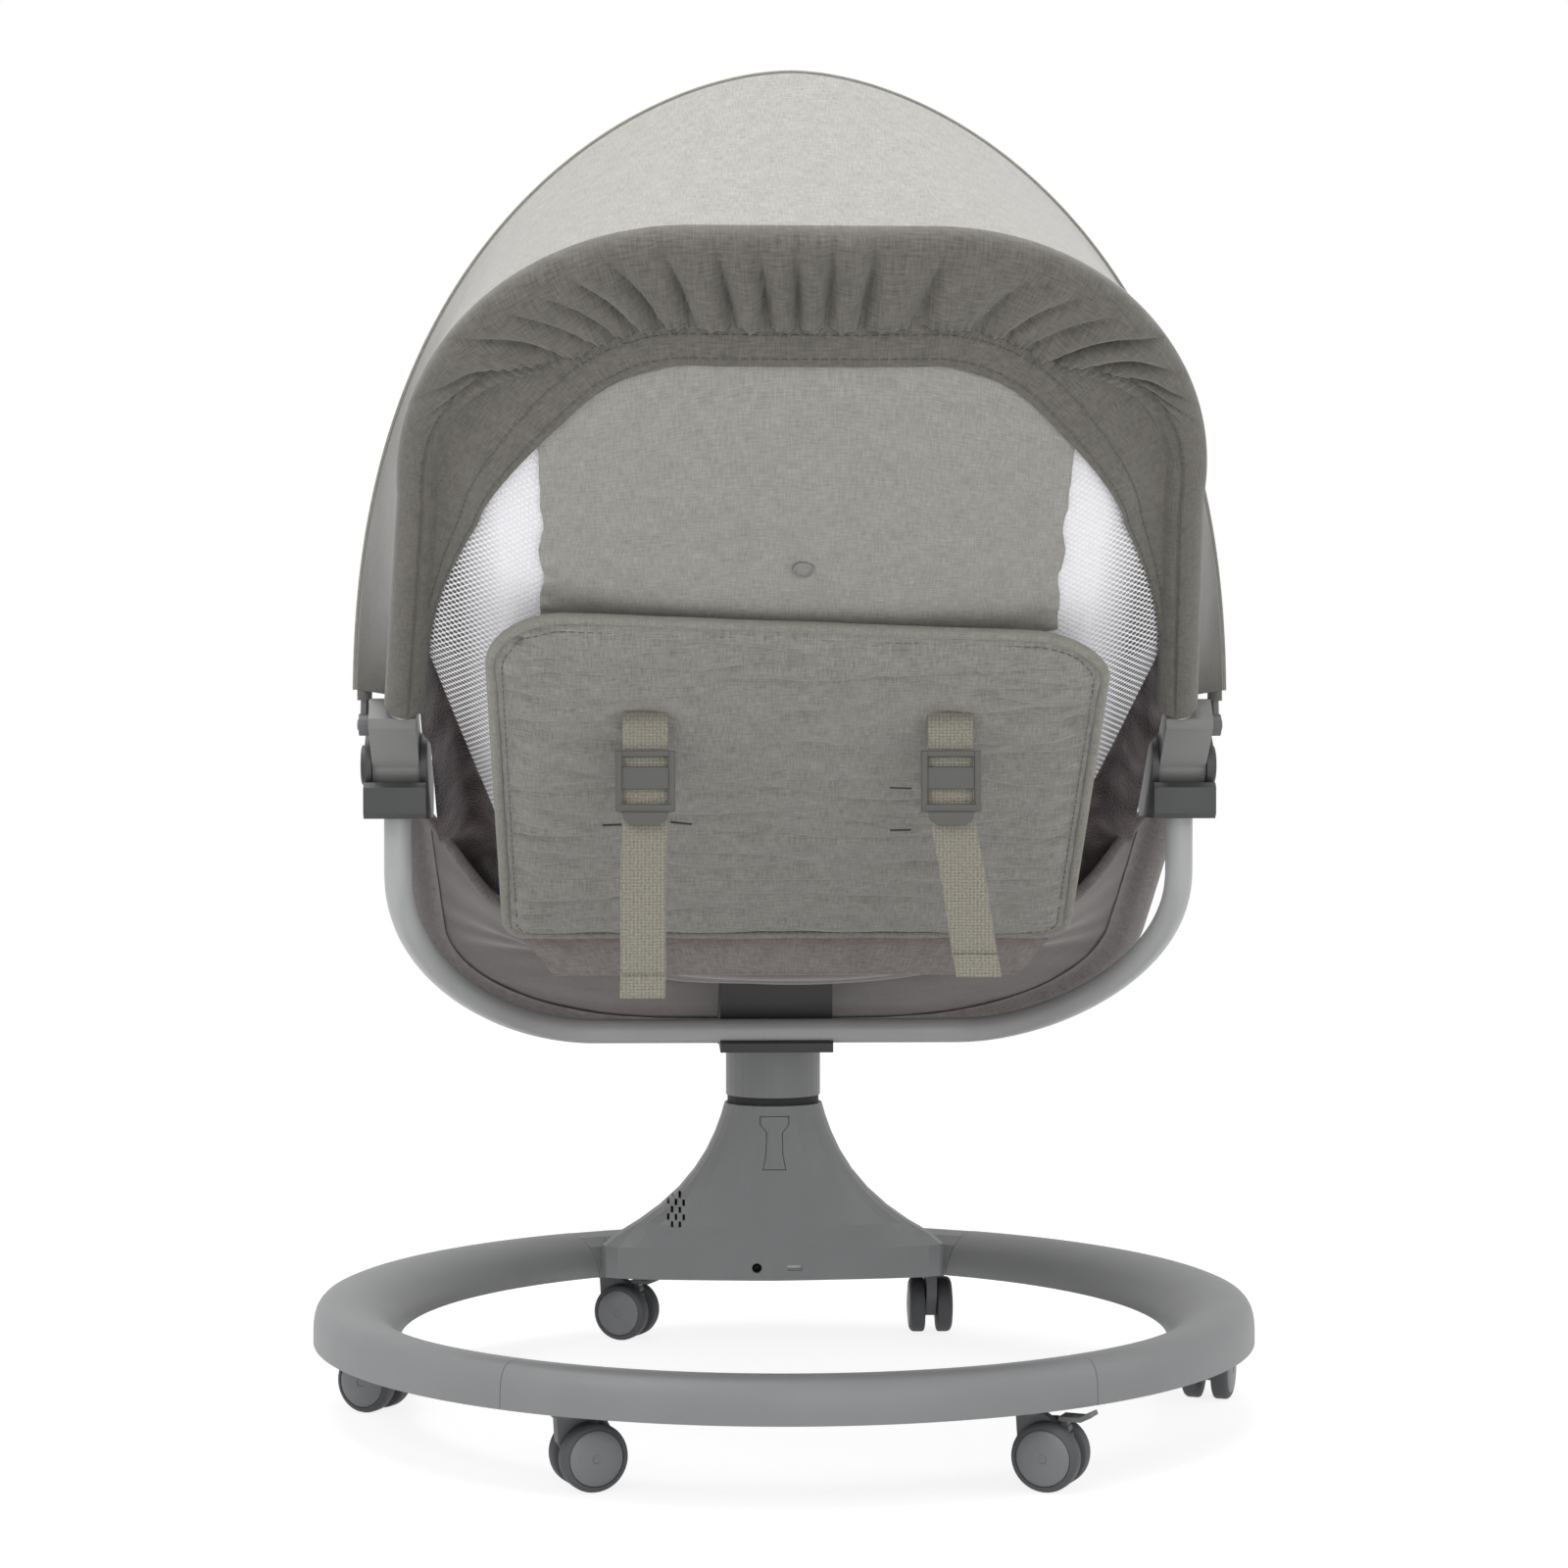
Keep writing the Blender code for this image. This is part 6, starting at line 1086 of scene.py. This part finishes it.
def ladderLock(name, x, near, z):
    # near is the lock's side towards the webbing, and its bars lie at drops below z
    top, low = strap["lockDrop"], strap["lockDrop"] + strap["lockHeight"]
    middle, far, w = (top + low) / 2, near + strap["lockThick"], strap["lockWidth"] / 2
    bm = bmesh.new()
    for edge in (-1, 1):
        a, b = sorted((x + edge * w, x + edge * (w - 3.7 * mm)))
        roundedBar(bm, (a, near - 0.6 * mm, z - low), (b, far + 0.9 * mm, z - top), 0.9 * mm)
    # thin upper bar, wide middle plate and lower bar, with webbing seen between them
    bars = ((top, top + 3.6 * mm, 0.4 * mm), (middle - 8 * mm, middle + 4.5 * mm, -0.2 * mm),
            (low - strap["bar"], low + 0.4 * mm, 1.2 * mm))
    for high, deep, proud in bars:
        roundedBar(bm, (x - w + 2 * mm, near, z - deep), (x + w - 2 * mm, far + proud, z - high), 0.8 * mm)
    # thumb lip below the last bar, narrower towards its end
    lip = [(x + w * share, z - low - down * mm) for share, down in (
        (-0.78, 0), (0.78, 0), (0.7, 4.5), (0.5, 7), (-0.5, 7), (-0.7, 4.5))]
    front = [bm.verts.new((px, far + 2.6 * mm - (z - low - pz) * 0.05, pz)) for px, pz in lip]
    rear = [bm.verts.new((px, far + 0.9 * mm, pz)) for px, pz in lip]
    bm.faces.new(front[::-1])
    bm.faces.new(rear)
    for k in range(6):
        bm.faces.new((front[k], front[(k + 1) % 6], rear[(k + 1) % 6], rear[k]))
    bmesh.ops.recalc_face_normals(bm, faces=bm.faces)
    lock = fromBmesh(name, bm, mouldedBuckle)
    lock.data.set_sharp_from_angle(angle=math.radians(42))
    return lock


# one face of the webbing's section, and the same turned half round
section = strap["section"] + tuple((-u, -v) for u, v in strap["section"])
for side, label, drop, lean in zip((1, -1), ("Left", "Right"), strap["drops"], strap["leans"]):
    root = backPoint(side * strap["out"], strap["reach"], strap["face"])
    start = root + behind * strap["lift"]
    top, low = strap["lockDrop"], strap["lockDrop"] + strap["lockHeight"]
    knots = [root - behind * 5 * mm, root, start + (0, 0.3 * mm, -1.2 * mm)]
    knots += [start + np.array((0, y, -z)) for z, y in (
        (6 * mm, 0.4 * mm), (top, 0.0), (low + 8 * mm, 0.2 * mm),
        ((low + drop) / 2, 2.4 * mm), (drop - 20 * mm, 1.4 * mm), (drop, 2.6 * mm))]
    path = rounded(spread(knots, 130), 5)
    ahead = np.gradient(path, axis=0)
    ahead /= np.linalg.norm(ahead, axis=1, keepdims=True)
    grid = []
    for place, direction in zip(path, ahead):
        fall = max(0.0, start[2] - place[2] - low) / (drop - low)
        shift = np.array((lean * fall + 0.5 * mm * math.sin(5 * fall) * side, 0, 0))
        twist = 0.05 * side * fall * math.sin(3 * fall)
        across = np.array((math.cos(twist), math.sin(twist), 0))
        out = np.cross(direction, across)
        out /= np.linalg.norm(out)
        half, flat = strap["width"] / 2, strap["thick"] / 2
        grid.append([place + shift + across * (half * u) + out * (flat * v) for u, v in section])
    grid = np.array(grid)
    webbingPiece(f"strap{label}", grid, f"strap_{label.lower()}")
    # the free end is turned up and sewn
    cut = [k for k in range(len(path)) if start[2] - path[k][2] > drop - strap["fold"]]
    lifted = grid[cut] + np.array((0, strap["thick"] * 1.1, 0))
    webbingPiece(f"strapFold{label}", lifted)
    # one row of thread across the fold
    seam = lifted[3, 2:7] + np.array((0, 0.3 * mm, 0))
    fit(stitches(f"strapStitch{label}", seam, (0, 1, 0), 2.4 * mm, 1.2 * mm), "back", "webbing")
    near = start[1] + strap["thick"] / 2 + 0.35 * mm
    lock = ladderLock(f"ladderLock{label}", root[0], near, start[2])
    fit(lock, "back", "buckle_plastic", f"buckle_{label.lower()}")
print("straps made")

# The seat: sling, sleeve and edge.
seat = {
    "sag": ((50 * mm, 88 * mm), (120 * mm, 84 * mm), (180 * mm, 64 * mm), (225 * mm, 34 * mm),
            (265 * mm, 12 * mm), (300 * mm, 9 * mm), (395 * mm, 1.2 * mm)),
    "rear": ((0.0, 101 * mm), (0.5, 105 * mm), (0.8, 116 * mm), (1.0, 60 * mm)), "edge": 1.8 * mm,
    "sleeve": 9.3 * mm, "sleeveFlange": 15 * mm,
}


def seatSheet(rows, columns, rearExtra, share, front, lift=None):
    def place(ahead, over):
        across = math.sin(math.pi / 2 * (2 * over - 1)) * share
        rear = rearExtra + fromTable(seat["rear"], abs(across))
        reach = rear + (front - rear) * ahead
        x = across * loopHalf(legLoop, reach, tubeRadius + seat["edge"])
        sag = fromTable(seat["sag"], reach) * (1 - abs(across) ** 2.5)
        return legPoint(x, reach, sag + (lift(x, reach) if lift else 0))

    return gridOf(rows, columns, place)


slingFront = legLoop["length"] - tubeRadius - seat["edge"]
slingGrid = seatSheet(70, 81, 0.0, 1.0, slingFront, lambda x, r: 0.7 * mm * ripple(x / 0.04, r / 0.03, 8.0))
sling = gridPiece("seatSling", slingGrid, liningTwill)
fit(sling, "swing", "lining_cloth", "seat_sling")
rearEdge = spread(slingGrid[0], 200)
edgeRoll = tubePiece("seatEdgeRoll", rearEdge, 3.6 * mm, taupeCanvas, 14)
fit(edgeRoll, "swing", "heather_cloth")

legLine = spread(loopOutline(legLoop, 52 * mm), 221)
legOut = outward(legLine)
sleeveGrid = []
for k, ((half, reach), (ex, er)) in enumerate(zip(legLine, legOut)):
    section = roundTube(half, reach, ex, er, seat["sleeve"],
                        lambda degrees: 0.35 * mm * ripple(k / 5, degrees / 40))
    for j in range(1, 9):
        inset = seat["sleeveFlange"] * j / 8
        x, r = half - ex * inset, reach - er * inset
        ease = smooth(0.0, seat["sleeveFlange"], inset)
        width = loopHalf(legLoop, min(r, slingFront), tubeRadius + seat["edge"])
        sag = fromTable(seat["sag"], r) * (1 - min(1.0, abs(x) / width) ** 2.5)
        section.append((x, r, seat["sleeve"] * 0.95 * (1 - ease) + (sag + 1.4 * mm) * ease))
    sleeveGrid.append([legPoint(*p) for p in section])
sleeve = gridPiece("legSleeve", np.array(sleeveGrid), taupeCanvas)
fit(sleeve, "swing", "heather_cloth")

# A skirt hangs from the board's lower edge over the seat's rear edge, then turns under.
skirt = {
    "topHalf": 161 * mm, "lowHalf": 140 * mm, "drop": 26 * mm, "under": 22 * mm, "hangs": 0.7,
    "rows": 16, "columns": 81,
}
skirtTop = backPoint(0, board["from"] + 3 * mm, 47 * mm)


def skirtPoint(down, over):
    # hangs down for the first part of its length, and is tucked under for the rest
    hang = min(1.0, down / skirt["hangs"])
    tuck = max(0.0, (down - skirt["hangs"]) / (1 - skirt["hangs"]))
    x = (2 * over - 1) * (skirt["topHalf"] + (skirt["lowHalf"] - skirt["topHalf"]) * hang)
    wave = 0.9 * mm * ripple(x / 0.04, down * 3, 4.0) + 0.5 * mm * ripple(x / 0.012, down, 2.0)
    belly = 3 * mm * math.sin(math.pi * hang) + wave * math.sin(math.pi * min(1.0, down * 1.2))
    return skirtTop + np.array((x, belly - 1.5 * mm * hang - skirt["under"] * tuck,
                                -skirt["drop"] * hang - 1.2 * mm * math.sin(math.pi / 2 * tuck)))


hangingSkirt = gridPiece("boardSkirt", gridOf(skirt["rows"], skirt["columns"], skirtPoint), taupeCanvas)
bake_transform(hangingSkirt)

# Quilted side wings of the lining, seen between the net and the joints.
wing = {
    "inner": 10 * mm, "outer": 208.5 * mm, "step": 4.5 * mm, "top": 94 * mm, "low": 155 * mm,
    "rise": 36 * mm, "least": 168 * mm, "depth": 15 * mm, "rows": 60, "columns": 26,
}


def wingPoint(side, up, share):
    # share runs from the inner edge, under the net, to the outer edge
    bottom = -wing["low"] + wing["rise"] * share
    reach = bottom + (wing["top"] - bottom) * up
    outer = wing["outer"] + wing["step"] * smooth(24 * mm, 36 * mm, reach)
    inner = max(backHalf(reach) - wing["inner"], wing["least"] * smooth(-80 * mm, -110 * mm, reach))
    inner = min(inner, outer - 2 * mm)
    x = inner + (outer - inner) * share
    quilt = 1.6 * mm * ripple(x / 0.012, reach / 0.014, side * 5.0) * (1 - smooth(0.8, 1.0, share))
    turnedOut = 1.6 * smooth(0.6, 1.0, share) * smooth(-105 * mm, -60 * mm, reach)
    hollow = wing["depth"] * (smooth(0.0, 0.5, share) - turnedOut)
    return backPoint(side * x, reach, quilt - hollow - 4 * mm)


for side, label in ((1, "Left"), (-1, "Right")):
    grid = gridOf(wing["rows"], wing["columns"], lambda up, share: wingPoint(side, up, share))
    fit(gridPiece(f"sideWing{label}", grid, quiltedLining), "back", "lining_cloth")


# Pads inside the seat and the back.
pad = {
    "share": 0.78, "edge": 4 * mm, "seatCrown": 14 * mm, "backCrown": 13 * mm, "cap": 5 * mm,
    "voxel": 5 * mm,
}


def padPiece(name, low, away, crown):
    # a closed form from its lower sheet up, thin at the rim and full at the crown
    normals = gridNormals(low)
    if (normals[len(low) // 2, len(low[0]) // 2] @ away) < 0:
        normals = -normals
    rows, wide = low.shape[:2]
    i, j = np.meshgrid(np.linspace(-1, 1, rows), np.linspace(-1, 1, wide), indexing="ij")
    j = np.sin(math.pi / 2 * j)
    full = np.sqrt(np.maximum(0, (1 - abs(i) ** 4) * (1 - abs(j) ** 4)))
    high = low + normals * (pad["edge"] + (crown - pad["edge"]) * full)[..., None]
    verts = np.concatenate((low.reshape(-1, 3), high.reshape(-1, 3)))
    count = rows * wide
    faces = [tuple(f[::-1]) for f in gridFaces(rows, wide)]
    faces += [tuple(v + count for v in f) for f in gridFaces(rows, wide)]
    border = [(i, 0) for i in range(rows)] + [(rows - 1, j) for j in range(1, wide)]
    border += [(i, wide - 1) for i in range(rows - 2, -1, -1)] + [(0, j) for j in range(wide - 2, 0, -1)]
    for (i, j), (m, n) in zip(border, border[1:] + border[:1]):
        a, b = i * wide + j, m * wide + n
        faces.append((a, b, b + count, a + count))
    thing = addMesh(name, verts, faces, embossedPlush)
    puff(thing, pad["cap"], pad["voxel"])
    return thing


above = np.array((0, 0, 1.0))
seatFoot = seatSheet(26, 27, 12 * mm, pad["share"], legLoop["length"] - 28 * mm) + above * 6.5 * mm
seatPad = padPiece("seatPad", seatFoot, above, pad["seatCrown"])
fit(seatPad, "swing", "plush", "seat_pad")
backFoot = backSheet(14 * mm - back["below"], netTop - 46 * mm, 26, 27,
                     lambda reach: backHalf(reach) * pad["share"], lambda x, reach: -5.2 * mm)
backPad = padPiece("backPad", backFoot, -behind, pad["backCrown"])
fit(backPad, "back", "plush", "back_pad")

print("seat and pads made")


# Floor, light and camera.
def seenRays(tree):
    # 1 for what the camera sees, also by way of a gloss or through glass, and 0 for the light's own rays
    path = addNode(tree, "LightPath")
    seen = addNode(tree, "Math", {0: path.outputs["Is Camera Ray"], 1: path.outputs["Is Glossy Ray"]},
                   operation="ADD")
    return addNode(tree, "Math", {0: seen, 1: path.outputs["Is Transmission Ray"]}, operation="ADD",
                   use_clamp=True)


scene = bpy.context.scene
scene.view_settings.view_transform = "Standard"
white = hexColour("ffffff")
floorSide = 14
floorMesh = bpy.data.meshes.new("floor")
floorMesh.from_pydata([(-floorSide, -floorSide, 0), (floorSide, -floorSide, 0), (floorSide, floorSide, 0),
                       (-floorSide, floorSide, 0)], [], [(0, 1, 2, 3)])
linked("floor", floorMesh)
# matt white paper: nothing of it shows but the soft shadow
floorPaper, tree, shader = newMaterial("mattWhitePaper", Base_Color=hexColour("f0f0f0"), Roughness=0.9)
part = addNode(tree, "Math", {0: seenRays(tree), 1: 0.7}, operation="MULTIPLY")
glow = addNode(tree, "Emission", {"Color": white, "Strength": 1.19})
both = addNode(tree, "MixShader", {"Fac": part, 1: shader, 2: glow})
setInputs(tree, tree.nodes["Material Output"], {"Surface": both})
floorMesh.materials.append(floorPaper)

world = bpy.data.worlds.new("studio")
scene.world = world
world.use_nodes = True
tree = world.node_tree
tree.nodes.clear()
dim = addNode(tree, "Background", {"Color": white, "Strength": 0.6})
bright = addNode(tree, "Background", {"Color": white, "Strength": 1.0})
both = addNode(tree, "MixShader", {"Fac": seenRays(tree), 1: dim, 2: bright})
addNode(tree, "OutputWorld", {"Surface": both})


def aimed(name, data, place, aim):
    # a lamp or camera that looks from its place at its aim
    thing = linked(name, data)
    thing.location = place
    thing.rotation_euler = (Vector(aim) - thing.location).to_track_quat("-Z", "Y").to_euler()
    return thing


lamps = {
    "topSoftbox": {"place": (0.3, 0.2, 2.6), "size": 1.8, "watts": 42},
    "keySoftbox": {"place": (1.5, 1.6, 1.7), "size": 0.9, "watts": 12},
    "fillSoftbox": {"place": (-0.5, 2.4, 0.5), "size": 1.6, "watts": 11},
    "sideSoftbox": {"place": (-2.0, 0.8, 1.3), "size": 1.5, "watts": 7},
}
for name, lamp in lamps.items():
    data = bpy.data.lights.new(name, "AREA")
    data.size = lamp["size"]
    data.energy = lamp["watts"]
    aimed(name, data, lamp["place"], (0, 0, 0.45))

view = {"place": (0.073, 1.939, 0.404), "aim": (0, ringCentreY, 0.404 - 0.0212), "lens": 74.6}
cameraData = bpy.data.cameras.new("camera")
cameraData.lens = view["lens"]
cameraData.sensor_width = 36
scene.camera = aimed("camera", cameraData, view["place"], view["aim"])
print("stage made")
